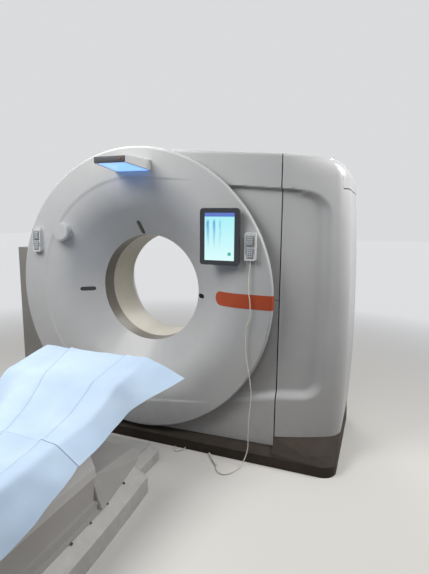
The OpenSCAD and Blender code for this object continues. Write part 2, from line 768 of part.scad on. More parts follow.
module drive_motor() color("#3c5a72") difference() {
    union() {
        bar_y(motor_at, motor_r, motor_y0, motor_y1);
        bar_y(motor_at, shaft_r, belt_y0 - 4, motor_y0 + 1);
        box([motor_at[0] - 60, motor_y0 + 10, frame_top], [motor_at[0] + 60, motor_y1 - 10, motor_at[1]]);
    }
    for (a = [0 : 30 : 180]) translate([motor_at[0], motor_y0, motor_at[1]]) rotate([0, -a, 0])
        box([motor_r - 4, 12, -3], [motor_r + 12, 140, 3]);
}
module motor_pulley() color("#c2c5c8") difference() {
    union() {
        bar_y(motor_at, pulley_r, belt_y0, belt_y1);
        for (y = [belt_y0 - 3, belt_y1]) bar_y(motor_at, pulley_r + flange_h, y, y + 3);
    }
    bar_y(motor_at, shaft_r + run_gap, belt_y0 - 5, belt_y1 + 5);
}
belt_t = 5;
module belt_loop(grow) {
    hull() {
        translate([0, iso_z]) circle(r = rim_r + grow, $fn = big_fn);
        translate(motor_at) circle(r = pulley_r + grow, $fn = mid_fn);
    }
}
module drive_belt() color("#1f2123") upright(belt_y0 + 1, belt_y1 - 1) difference() {
    belt_loop(0.8 + belt_t);
    belt_loop(0.8);
}
unit_x0 = seam_x + 43;
unit_y0 = base_y + 60;
vent_step = 60;
vent_from = 180;
module power_unit() color("#9b9fa0") difference() {
    box([unit_x0, unit_y0, frame_top],
        [plinth_x - plinth_wall - 10, base_y + base_d - 20, unit_top]);
    for (z = [frame_top + vent_from : vent_step : unit_top - vent_from])
        box([unit_x0 + 30, unit_y0 - 1, z], [unit_x0 + 190, unit_y0 + 4, z + vent_step / 3]);
}

// Fittings on the front disc
hood_root_y = disc_y + shell_t + fit_gap + 4;
hood_flange = 10;
hood_room = 1.5;
module hood_side() {
    polygon([[hood_root_y, hood_z - hood_rise], [hood_root_y, hood_z - hood_rise + hood_root_h],
        [disc_y - hood_reach, hood_z + hood_h], [disc_y - hood_reach, hood_z]]);
}
// The hood narrows from its root to its front edge
module hood_plan(inset) {
    polygon([[hood_x - hood_w / 2 + inset, disc_y - hood_reach + inset],
        [hood_x + hood_w / 2 - inset, disc_y - hood_reach + inset],
        [hood_x + hood_root_w / 2 - inset, hood_root_y + 1],
        [hood_x - hood_root_w / 2 + inset, hood_root_y + 1]]);
}
module hood_prism(up, inset) {
    intersection() {
        translate([hood_x - hood_root_w / 2, 0, up]) rotate([90, 0, 90])
            linear_extrude(hood_root_w) hood_side();
        translate([0, 0, hood_z - 200]) linear_extrude(400) hood_plan(inset);
    }
}
module light_hood() color("#e4e6e6") {
    difference() {
        hood_prism(0, 0);
        hood_prism(-1.5 * hood_t, hood_t);
    }
    upright(hood_root_y - 4, hood_root_y) hood_window(hood_flange);
}
module hood_lens() color("#7db4ff") difference() {
    intersection() {
        hood_prism(0, hood_t + fit_gap);
        box([hood_x - hood_root_w, disc_y - hood_reach, hood_z - 200],
            [hood_x + hood_root_w, disc_y + shell_t, hood_z + 200]);
    }
    hood_prism(4, 0);
}
module orange_field() color("#b4451f") intersection() {
    turned(concat(moved([for (i = [1 : len(face_curve) - 1]) face_curve[i]], -1.5 - fit_gap),
        [[disc_r + 1.5, disc_y + lip_r], [disc_r + 1.5, disc_back_y - 2],
         [disc_r + fit_gap, disc_back_y - 2], [disc_r + fit_gap, disc_y + lip_r]],
        flipped(moved([for (i = [1 : len(face_curve) - 1]) face_curve[i]], -fit_gap))));
    upright(disc_y - 5, rim_y) union() {
        translate([badge_x + badge_h / 2, badge_z]) circle(r = badge_h / 2, $fn = mid_fn);
        translate([badge_x + badge_h / 2, badge_z - badge_h / 2]) square([disc_r, badge_h]);
    }
}
module seated_on_face() {
    difference() {
        children();
        turned(behind_face);
    }
}
module tablet_dock() color("#c5c9cb") seated_on_face() translate([tablet_x, 0, tablet_z])
    upright(disc_y - dock_t + fit_gap, disc_y + 40) round_rect(120, 170, 18);
module tablet() color("#101a26") difference() {
    translate([tablet_x, 0, tablet_z]) upright(tablet_y, tablet_y + tablet_t)
        round_rect(tablet_w, tablet_h, 18);
    translate([tablet_x, 0, tablet_z]) upright(tablet_y - 1, tablet_y + 3)
        square([tablet_w - 56, tablet_h - 51], center = true);
}
module tablet_screen() color("#c8f4f8") translate([tablet_x, 0, tablet_z])
    upright(tablet_y + 1.5, tablet_y + 3 - 0.1)
        square([tablet_w - 56 - 2 * fit_gap, tablet_h - 51 - 2 * fit_gap], center = true);
blank_at = [-526, 1333];
module blank_dock() color(soft_white) seated_on_face() {
    bar_y(blank_at, blank_dock_d / 2, disc_y - 30, disc_y + 40);
    bar_y(blank_at, blank_dock_d / 2 - 8, disc_y - 34, disc_y);
}
// A holder is a back plate with two side cheeks and a pocket; the remote stands in the pocket
module remote_holder(x) {
    seated_on_face() difference() {
        translate([x, 0, holder_z]) upright(holder_y, disc_y + 4) round_rect(holder_w, holder_h, 8);
        translate([x, 0, holder_z + 4]) upright(holder_y + 5, disc_y - 5)
            square([holder_w - 10, holder_h], center = true);
        translate([x, 0, holder_z + 34]) upright(holder_y - 1, disc_y - 5)
            square([holder_w - 10, holder_h], center = true);
    }
}
module remote(x) {
    w = holder_w - 10 - 2 * fit_gap;
    z0 = holder_z + 4 - holder_h / 2 + fit_gap;
    translate([x, 0, z0 + holder_h / 2]) upright(holder_y + 5 + fit_gap, disc_y - 5 - fit_gap)
        square([w, holder_h], center = true);
    for (row = [0 : 3], col = [-1, 1])
        translate([x + col * 11, 0, z0 + 62 + row * 19]) rotate([90, 0, 0])
            translate([0, 0, -holder_y - 5.5 - fit_gap]) cylinder(r = 6, h = 2, $fn = small_fn);
}
module left_remote_holder() color("#cfd2d2") remote_holder(-holder_left_x);
module left_remote() color("#b9bbb6") remote(-holder_left_x);
module right_remote_holder() color("#cfd2d2") remote_holder(holder_right_x);
module right_remote() color("#b9bbb6") remote(holder_right_x);

// The white lead of the right remote: hand-set points down the disc, over the plinth and back
lead_r = 3;
lead_points = [[745, -256, 1200.6], [742, -257, 1160], [739, -258, 1110], [738, -258, 1035],
    [745, -257, 985], [749, -257, 949], [751, -257, 905], [744, -257, 865], [731, -257, 828],
    [727, -257, 750], [728, -257, 682], [739, -257, 610], [753, -257, 540], [763, -257, 470],
    [766, -257, 413], [761, -257, 340], [755, -257, 271], [753, -257, 190], [754, -258, 109],
    [748, -268, 64], [737, -292, 28], [725, -318, 8], [714, -346, 5], [696, -384, 5],
    [672, -410, 5], [647, -416, 5], [625, -405, 5], [604, -384, 5], [597, -362, 6],
    [594, -352, 6]];
sleeve_points = [[594, -352, 7], [566, -318, 7], [534, -280, 7], [506, -246, 7]];
function tube_faces(rings, sides) = concat(
    [[for (k = [sides - 1 : -1 : 0]) k]],
    [for (i = [0 : rings - 2], k = [0 : sides - 1]) let (a = i * sides, b = (k + 1) % sides)
        each [[a + k, a + b, a + sides + b], [a + k, a + sides + b, a + sides + k]]],
    [[for (k = [0 : sides - 1]) (rings - 1) * sides + k]]);
function unit(v) = v / norm(v);
function ring_points(route, i, r, sides) = let (
        along = unit(route[min(i + 1, len(route) - 1)] - route[max(i - 1, 0)]),
        u = unit(cross(along, [0.31, 0.87, 0.38])), v = cross(along, u))
    [for (k = [0 : sides - 1]) route[i] + r * (cos(360 * k / sides) * u + sin(360 * k / sides) * v)];
module tube_along(route, r, sides = 8) {
    polyhedron([for (i = [0 : len(route) - 1]) each ring_points(route, i, r, sides)],
        tube_faces(len(route), sides), convexity = 6);
}
module remote_lead() color("#e5e0d5") {
    tube_along(lead_points, lead_r);
    tube_along(sleeve_points, lead_r * 2);
}
// A short spare lead that comes out below the plinth and turns back
spare_points = [[276, -240.4, 4], [278, -264, 4], [287, -288, 4], [301, -293, 4],
    [315, -284, 4], [328, -272, 5], [339, -260, 8], [344, -251, 10], [344, -240.5, 10]];
module spare_lead() color("#e5e0d5") tube_along(spare_points, lead_r);

// Floor link on the gantry side of the table: two end blocks with a cover between them
link_len = 284;
link_h = 60;
link_x = 158;
link_out_x = 250;
link_r = 36;
link_t = 6;
link_y0 = skirt_y + fit_gap;
link_y1 = skirt_y + link_len;
module link_cover() color("#eceae6") box([-link_x, link_y0, link_h - link_t], [link_x, link_y1, link_h]);
module link_rails() color("#bdbdb8") for (s = [0, 1]) mirror([s, 0, 0]) {
    box([link_x + 6, link_y0, 0], [link_out_x, link_y1 - 24 - link_r, link_h]);
    box([link_x + 6, link_y0, 0], [link_out_x - link_r, link_y1 - 24, link_h]);
    translate([link_out_x - link_r, link_y1 - 24 - link_r, 0]) cylinder(r = link_r, h = link_h, $fn = mid_fn);
    box([link_x - 8, link_y0, 0], [link_x + 7, link_y1 - 24, link_h - link_t - fit_gap]);
}

// The table stands on the floor in front of the gantry. Half outlines list the right side
// from the front to the rear, and mirrored() adds the left side
skirt_end_y = skirt_y - skirt_len;
carriage_y = skirt_y - carriage_back;
column_y = skirt_y - column_back;
corner_d = 65;
end_r = 140;
function mirrored(half) = concat(half, [for (i = [len(half) - 1 : -1 : 0]) [-half[i][0], half[i][1]]]);
// Stations of the skirt's side: distance back, share of its widening, share of the seam's
side_back = [corner_d, 213, 374, 507, 636, 1055, skirt_len - end_r];
skirt_share = [0, 0.25, 0.46, 0.59, 0.69, 1, 1];
seam_share = [0.18, 0.57, 0.83, 0.94, 1, 1, 1];
seam_x_front = 249;
seam_x_rear = skirt_max_x - shoulder_w;
function skirt_side(i) = skirt_x + skirt_share[i] * (skirt_max_x - skirt_x);
function seam_side(i) = seam_x_front + seam_share[i] * (seam_x_rear - seam_x_front);
function skirt_half(off) = concat([[228 - off * 0.6, skirt_y - off]],
    [for (i = [0 : 6]) [skirt_side(i) - off, skirt_y - side_back[i] - (i == 0 ? off * 0.8 : 0)]],
    [[skirt_max_x - 60 - off, skirt_end_y + off]]);
// The seam between the skirt and the fixed cover
function seam_half(off) = concat([[seam_x_front - off, skirt_y - 4 - off]],
    [for (i = [0 : 6]) [seam_side(i) - off, skirt_y - side_back[i]]],
    [[seam_x_rear - 45 - off, skirt_end_y + 60 + off]]);
// Joins two outlines of as many points, one above the other, with flat faces
module lofted(low, low_at, high, high_at) {
    n = len(low);
    polyhedron(concat([for (p = low) [p[0], p[1], low_at]], [for (p = high) [p[0], p[1], high_at]]),
        concat([[for (i = [n - 1 : -1 : 0]) i], [for (i = [0 : n - 1]) n + i]],
            [for (i = [0 : n - 1]) let (j = (i + 1) % n) each [[i, j, n + j], [i, n + j, n + i]]]),
        convexity = 6);
}
module table_skirt() color("#b5b3b0") difference() {
    union() {
        linear_extrude(skirt_h) polygon(mirrored(skirt_half(0)));
        lofted(mirrored(skirt_half(0)), skirt_h, mirrored(seam_half(-1)), seam_z);
    }
    translate([0, 0, -1]) linear_extrude(skirt_h - 5) polygon(mirrored(skirt_half(shell_t)));
    translate([0, 0, -1]) linear_extrude(seam_z + 2) polygon(mirrored(seam_half(shell_t + 3)));
}
nose_z = seam_z + 38;
nose_out = 43;
core_x = 300;
core_ledge_z = 176;
core_top_x = 284;
core_end_y = skirt_end_y + 75;
core_front_x = 270;
low_z = seam_z + fit_gap;
// The nose rises from the seam to the height of the body behind it
module core_nose(off) {
    hull() {
        translate([0, 0, low_z]) linear_extrude(1) polygon(mirrored(concat([for (i = [0 : 3])
            seam_half(off)[i]], [[seam_x_rear - off, carriage_y - 2]])));
        translate([0, skirt_y + nose_out - off, nose_z - off])
            cube([2 * (nose_x - off), 2, 2], center = true);
        translate([0, carriage_y - 3, core_h - off - 1])
            cube([2 * (core_front_x - off), 2, 2], center = true);
    }
}
module core_body(off) {
    linear_extrude(core_h - off) polygon(mirrored([[core_top_x - off, carriage_y - 2],
        [core_top_x - off, core_end_y + 60], [core_top_x - 50 - off, core_end_y + off]]));
    translate([0, 0, low_z]) linear_extrude(core_ledge_z - low_z - off)
        polygon(mirrored([[core_x - off, carriage_y - 2], [core_x - off, core_end_y + 60],
            [core_x - 50 - off, core_end_y - 10 + off]]));
    translate([0, 0, low_z]) linear_extrude(shell_t) polygon(mirrored([
        [seam_x_rear - 1 - off, carriage_y - 2], [seam_x_rear - 1 - off, skirt_end_y + end_r],
        [seam_x_rear - 46 - off, skirt_end_y + 61 + off]]));
}
nose_x = 195;
module table_core_cover() color("#8f8c8a") difference() {
    union() {
        core_nose(0);
        core_body(0);
    }
    core_nose(shell_t);
    translate([0, 0, -1]) linear_extrude(core_h - shell_t + 1) polygon(mirrored([
        [core_top_x - shell_t, carriage_y - 10], [core_top_x - shell_t, core_end_y + 60],
        [core_top_x - 50 - shell_t, core_end_y + shell_t]]));
    translate([0, 0, -1]) linear_extrude(low_z + 1) polygon(mirrored(seam_half(-60)));
    box([-column_x - 2, column_y - column_d - 2, low_z],
        [column_x + 2, column_y + column_d + 2, core_h + 10]);
}
// Screws on the skirt's sloped shoulder, a share of the way down from its seam
shoulder_share = 0.22;
rim_screw_inset = 52;
module cover_screws() color("#2c2d2f") {
    bar_y([rim_screw_inset - disc_r, iso_z - 12], 8, disc_y - 2, disc_y - fit_gap, small_fn);
    for (s = [-1, 1], i = [1 : 4]) {
        run = skirt_side(i) - seam_side(i) - 1;
        tilt = atan((seam_z - skirt_h) / run);
        translate([s * (seam_side(i) + 1 + shoulder_share * run), skirt_y - side_back[i],
            seam_z - shoulder_share * (seam_z - skirt_h)])
            rotate([0, s * tilt, 0]) translate([0, 0, 0.7]) cylinder(r = 6, h = 2, $fn = small_fn);
    }
}

// Lift: a fixed tube on a floor plate, a middle tube and the carriage's own tube
floor_plate_t = 12;
tube_top = core_h - 15;
tube_step = tube_t + fit_gap;
module rect_tube(off, z0, z1) {
    difference() {
        box([off - column_x, column_y - column_d + off, z0],
            [column_x - off, column_y + column_d - off, z1]);
        box([off + tube_t - column_x, column_y - column_d + off + tube_t, z0 - 1],
            [column_x - off - tube_t, column_y + column_d - off - tube_t, z1 + 1]);
    }
}
spindle_r = 16;
spindle_foot_r = 11;
module spindle_bar(r, z0, z1) {
    translate([0, column_y, z0]) cylinder(r = r, h = z1 - z0, $fn = small_fn);
}
module lift_column() color(steel) difference() {
    union() {
        linear_extrude(floor_plate_t) polygon(mirrored(skirt_half(shell_t + fit_gap)));
        rect_tube(0, floor_plate_t - 1, tube_top);
    }
    spindle_bar(spindle_foot_r + run_gap, -1, floor_plate_t + 1);
}
module lift_middle_tube() color("#9aa1a7") rect_tube(tube_step, floor_plate_t + 2, tube_top + 4);
module lift_spindle() color("#c9ccd0") {
    spindle_bar(spindle_r, floor_plate_t + fit_gap, tube_top - 4);
    spindle_bar(spindle_foot_r, 2, floor_plate_t + 1);
}
lift_motor_y = column_y + column_d + 90;
module lift_motor() color("#3c5a72") {
    translate([0, lift_motor_y, floor_plate_t + fit_gap]) cylinder(r = 55, h = 150, $fn = mid_fn);
    box([-60, lift_motor_y - 60, floor_plate_t + fit_gap], [60, lift_motor_y + 60, 40]);
}

// The carriage rises with the lift and carries the rails of the table top
carriage_z = core_h + carriage_gap;
top_z = carriage_z + carriage_h;
deck_z = carriage_z + 14;
rail_w = 36;
carriage_end_y = carriage_y - carriage_len;
pulley_y = carriage_y - 70;
pulley_z = deck_z + 36;
pulley_pin_r = 8;
bracket_x = 70;
module carriage_frame() color("#5f676f") difference() {
    union() {
        rect_tube(2 * tube_step, floor_plate_t + 4, carriage_z + 3);
        box([-rail_x - 45, carriage_end_y + 20, carriage_z + 2], [rail_x + 45, carriage_y - 20, deck_z]);
        for (s = [-1, 1]) box([s * rail_x - rail_w / 2, carriage_end_y + 20, deck_z - 1],
            [s * rail_x + rail_w / 2, carriage_y - 20, top_z - fit_gap]);
        for (s = [-1, 1]) box([s * bracket_x - 6, pulley_y - 30, deck_z - 1],
            [s * bracket_x + 6, pulley_y + 30, pulley_z + 26]);
        box([2 * tube_step - column_x + 1, column_y - 40, tube_top - 26],
            [column_x - 2 * tube_step - 1, column_y + 40, tube_top - 10]);
    }
    spindle_bar(spindle_r + run_gap, 0, core_h);
    translate([-bracket_x - 20, pulley_y, pulley_z]) rotate([0, 90, 0])
        cylinder(r = pulley_pin_r + run_gap, h = 2 * bracket_x + 40, $fn = small_fn);
}
module feed_pulley() color("#c2c5c8") translate([0, pulley_y, pulley_z]) rotate([0, 90, 0]) {
    translate([0, 0, 10 - bracket_x]) cylinder(r = feed_r, h = 2 * bracket_x - 20, $fn = small_fn);
    translate([0, 0, -bracket_x - 10]) cylinder(r = pulley_pin_r, h = 2 * bracket_x + 20, $fn = small_fn);
}
feed_motor_len = rail_x - rail_w / 2 - bracket_x - 14;
module feed_motor() color("#3c5a72") {
    translate([bracket_x + 10 + fit_gap, pulley_y, pulley_z]) rotate([0, 90, 0])
        cylinder(r = 30, h = feed_motor_len, $fn = mid_fn);
    box([bracket_x + 22, pulley_y - 30, deck_z + fit_gap],
        [bracket_x + feed_motor_len, pulley_y + 30, pulley_z]);
}
carriage_bottom_x = 290;
carriage_top_x = 262;
carriage_roof_z = top_z - 8;
carriage_wall = 4;
module carriage_body(off) {
    translate([0, carriage_y - off, 0]) rotate([90, 0, 0]) linear_extrude(carriage_len - 2 * off)
        polygon(mirrored([[carriage_bottom_x - off, carriage_z - (off > 0 ? 1 : 0)],
            [carriage_bottom_x - 3 - off, carriage_z + 40],
            [carriage_top_x - off, carriage_roof_z - off]]));
}
module carriage_cover() color("#b0aeab") difference() {
    carriage_body(0);
    carriage_body(carriage_wall);
    for (s = [-1, 1]) box([s * rail_x - rail_w / 2 - fit_gap, carriage_end_y + 10, carriage_roof_z - 20],
        [s * rail_x + rail_w / 2 + fit_gap, carriage_y - 10, top_z + 20]);
}

// Table top with mattress, head support and the sheet laid over them
top_y = skirt_y - top_back;
top_end_y = top_y - top_len;
top_r = 90;
bed_z = top_z + top_t - 5;
module top_plan() {
    w = top_w / 2;
    translate([-w, top_end_y]) square([2 * w, top_len - top_r]);
    translate([top_r - w, top_end_y]) square([2 * (w - top_r), top_len]);
    for (s = [-1, 1]) translate([s * (w - top_r), top_y - top_r]) circle(r = top_r, $fn = mid_fn);
}
module table_top() color("#3b3f44") intersection() {
    translate([0, top_y, 0]) rotate([90, 0, 0]) linear_extrude(top_len)
        polygon(mirrored([[top_w / 2 - 60, top_z], [top_w / 2 - 30, top_z + 8],
            [top_w / 2 - 8, top_z + 26], [top_w / 2, top_z + 40], [top_w / 2 - 4, bed_z]]));
    translate([0, 0, top_z - 10]) linear_extrude(top_t + 20) top_plan();
}
pillow_y = skirt_y + pillow_reach;
pillow_end_y = pillow_y - pillow_len;
mattress_z = bed_z + mattress_t;
pillow_z = bed_z + pillow_h;
module mattress() color("#4a5560") box([-mattress_w / 2, top_end_y + 40, bed_z + fit_gap],
    [mattress_w / 2, pillow_end_y - 20, mattress_z]);
pillow_r = 50;
pillow_fall = 35;
module pillow_post(y, top) {
    for (s = [-1, 1]) translate([s * (pillow_w / 2 - pillow_r), y, bed_z + fit_gap]) {
        cylinder(r1 = 30, r2 = pillow_r, h = 34, $fn = 24);
        translate([0, 0, top - bed_z - 40]) cylinder(r1 = pillow_r, r2 = 24, h = 40 - fit_gap, $fn = 24);
    }
}
module head_pillow() color("#e9edf2") hull() {
    pillow_post(pillow_y - pillow_r, pillow_z - 12);
    pillow_post(pillow_y - 250, pillow_z - pillow_fall);
    pillow_post(pillow_end_y + pillow_r, bed_z + 90);
}
// The sheet from the front to the rear: distance back, height of its underside over the bed
sheet_t = 3;
sheet_y = skirt_y + sheet_reach;
sheet_back = [0, 322, 475, 700, 900, sheet_len];
sheet_up = [pillow_h, pillow_h - pillow_fall - 3, mattress_t + 52, mattress_t + 16, mattress_t,
    mattress_t];
// Its right and left hems: distance from the middle, height over the bed
right_hem = [[475, 136], [350, 60], [325, 44], [308, -30], [300, -130], [300, -145]];
left_hem = [[433, 214], [425, 165], [380, 90], [330, 0], [312, -130], [305, -145]];
fold_x = 262;
module sheet_band(side, hem) {
    n = len(sheet_back);
    inner = [for (i = [0 : n - 1]) [0, sheet_y - sheet_back[i], bed_z + sheet_up[i] + fit_gap]];
    fold = [for (p = inner) p + [side * fold_x, 0, 0]];
    edge = [for (i = [0 : n - 1]) [side * hem[i][0], inner[i][1], bed_z + hem[i][1]]];
    under = concat(inner, fold, edge);
    all = concat(under, [for (p = under) p + [0, 0, sheet_t]]);
    m = 3 * n;
    quads = concat(
        [for (b = [0, 1], i = [0 : n - 2]) let (k = b * n + i) [k, k + n, k + n + 1, k + 1]],
        [for (b = [0, 1], i = [0 : n - 2]) let (k = m + b * n + i) [k, k + 1, k + n + 1, k + n]],
        [for (i = [0 : n - 2]) [i, i + 1, m + i + 1, m + i]],
        [for (i = [2 * n : 3 * n - 2]) [i, m + i, m + i + 1, i + 1]],
        [for (b = [0, 1]) let (k = b * n) [k, m + k, m + k + n, k + n]],
        [for (b = [0, 1]) let (k = b * n + n - 1) [k, k + n, m + k + n, m + k]]);
    triangles = [for (q = quads) each [[q[0], q[1], q[2]], [q[0], q[2], q[3]]]];
    polyhedron(all, side > 0 ? triangles : [for (t = triangles) [t[2], t[1], t[0]]], convexity = 6);
}
module drape_sheet() color("#c6dcf2") {
    sheet_band(1, right_hem);
    sheet_band(-1, left_hem);
}

gantry_frame();
bearing_outer_ring();
base_plinth();
front_face();
front_ring();
scan_window();
bore_liner();
mid_upper_cover();
mid_lower_cover();
right_cover();
roof_cover();
rear_cover();
drum_cover();
left_base_cover();
light_hood();
hood_lens();
orange_field();
tablet_dock();
tablet();
tablet_screen();
blank_dock();
left_remote_holder();
left_remote();
right_remote_holder();
right_remote();
laser_windows();
cover_screws();
link_cover();
link_rails();
remote_lead();
spare_lead();
drive_motor();
drive_belt();
brush_block();
power_unit();
levelling_feet();
rotor_drum();
xray_tube();
collimator();
detector_arc();
voltage_generator();
tube_cooler();
slip_ring();
motor_pulley();
fan_upper();
fan_lower();
table_skirt();
table_core_cover();
lift_column();
lift_motor();
lift_middle_tube();
lift_spindle();
carriage_frame();
carriage_cover();
feed_motor();
feed_pulley();
table_top();
mattress();
head_pillow();
drape_sheet();
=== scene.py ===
"""Looks of a computed tomography scanner: a round-faced ring gantry and its patient table.

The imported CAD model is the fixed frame, in metres. The origin is on the floor below the
centre of the scan plane, +X is to the right of someone who faces the gantry from the
table, +Y runs along the bore to the rear and +Z is up.
"""

import logging
import math
from dataclasses import dataclass, field
from enum import Enum
from typing import Mapping, Sequence

import bmesh
import bpy
import numpy as np
from mathutils import Matrix, Vector


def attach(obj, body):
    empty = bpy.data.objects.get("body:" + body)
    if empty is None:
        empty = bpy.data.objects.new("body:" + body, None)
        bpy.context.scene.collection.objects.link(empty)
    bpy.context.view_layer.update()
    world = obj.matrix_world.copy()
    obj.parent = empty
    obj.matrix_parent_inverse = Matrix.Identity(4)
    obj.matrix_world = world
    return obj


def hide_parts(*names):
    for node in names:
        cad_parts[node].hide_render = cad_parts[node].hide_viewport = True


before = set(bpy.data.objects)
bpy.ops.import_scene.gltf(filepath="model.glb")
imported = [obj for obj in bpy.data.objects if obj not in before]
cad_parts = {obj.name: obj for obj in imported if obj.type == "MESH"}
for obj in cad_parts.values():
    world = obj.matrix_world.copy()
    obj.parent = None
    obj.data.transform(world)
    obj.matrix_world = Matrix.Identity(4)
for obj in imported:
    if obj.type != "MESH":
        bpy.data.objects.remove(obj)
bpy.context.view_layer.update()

LOG = logging.getLogger("scanner")
MM = 0.001

Point = tuple[float, float, float]
Row = tuple[np.ndarray, np.ndarray, np.ndarray]
Tree = bpy.types.NodeTree
Node = bpy.types.Node
Socket = bpy.types.NodeSocket
Piece = bpy.types.Object

# The sheet's packing folds: their place across at CREASE_Y with their lean, and along.
CREASES = ((-0.105, -0.30), (0.150, -0.05))
CROSS_CREASES = (-1.240, -1.700, -2.150)
CREASE_Y = -1.03

# A Mix node's inputs for two colours, and its output for the mixed one.
MIX_FIRST, MIX_SECOND, MIXED = 6, 7, 2

# Patterns: how finely each is layered and where its soft edges lie between 0 and 1, the size of
# the patches of dirt and painted shade near the floor, and the size of smears as a share of the
# clouds' size.
CLOUD_DETAIL = 3.0
CLOUD_EDGES = (0.35, 0.65)
GRAIN_DETAIL = 2.0
PATCH_MM = 45.0
PATCH_DETAIL = 5.0
PATCH_EDGES = (0.3, 0.8)
SMEAR_SHARE = 0.3
SMEAR_DETAIL = 4.0
SMEAR_EDGES = (0.3, 0.7)

# Dirt and painted shade of the dark floor's bounce thin out up to this height, in metres.
DUST_AND_SHADE_HIGH = 0.32

# Wiped and unwiped spots differ from a finish's roughness by these factors.
GLOSS_RANGE = (0.86, 1.14)

# The roughness of clear coats and of the sheen on cloth.
COAT_ROUGHNESS = 0.12
SHEEN_ROUGHNESS = 0.4

# Mesh tolerances in metres, the widest round edge as a share of a box's thinnest side,
# and the sharpest bend of such a box that is shaded smooth, in degrees.
MERGE_WITHIN = 2e-5
THINNEST = 1e-6
WIDEST_ROUND = 0.49
BOX_ANGLE = 50.0


class Body(Enum):
    """The CAD bodies that carry the scene's own pieces."""

    STAND = "stand"
    BED = "bed"


class Side(Enum):
    """The two sides of the table, by the sign of their place across."""

    RIGHT = 1
    LEFT = -1


# Surfaces


def linear(code: str) -> tuple[float, float, float, float]:
    """Turns an sRGB colour to linear light.

    Args:
        code: the colour as #RRGGBB.

    Returns:
        The linear red, green and blue, with an alpha of 1.
    """
    # The numbers are those of the sRGB standard's own curve.
    parts = (int(code[i : i + 2], 16) / 255 for i in (1, 3, 5))
    red, green, blue = (
        p / 12.92 if p <= 0.04045 else ((p + 0.055) / 1.055) ** 2.4 for p in parts
    )
    return red, green, blue, 1.0


def add_node(
    tree: Tree,
    kind: str,
    inputs: Mapping[str | int, object] | None = None,
    **settings: object,
) -> Node:
    """Adds a shader node with its settings, values and links.

    Args:
        tree: the node tree that takes it.
        kind: the node's type without its ShaderNode prefix.
        inputs: for each input, a value or the socket that feeds it.
        settings: the node's own properties.

    Returns:
        The new node.
    """
    node = tree.nodes.new("ShaderNode" + kind)
    for name, value in settings.items():
        setattr(node, name, value)
    for key, value in (inputs or {}).items():
        if isinstance(value, Socket):
            tree.links.new(value, node.inputs[key])
        else:
            node.inputs[key].default_value = value
    return node


def soft_patches(
    tree: Tree,
    place: Socket,
    size_mm: float,
    detail: float,
    edges: tuple[float, float],
    tones: tuple[float, float] = (0.0, 1.0),
) -> Socket:
    """Draws cloudy patches with soft edges.

    Args:
        tree: the node tree.
        place: the coordinates to read.
        size_mm: the real size of one patch.
        detail: how many finer layers are added.
        edges: where the patches' edges start and end, between 0 and 1.
        tones: the value outside the patches and inside them.

    Returns:
        The socket of the value.
    """
    clouds = {"Vector": place, "Scale": 1 / (size_mm * MM), "Detail": detail}
    limits = {
        "Value": add_node(tree, "TexNoise", clouds).outputs["Fac"],
        "From Min": edges[0],
        "From Max": edges[1],
        "To Min": tones[0],
        "To Max": tones[1],
    }
    return add_node(tree, "MapRange", limits).outputs["Result"]


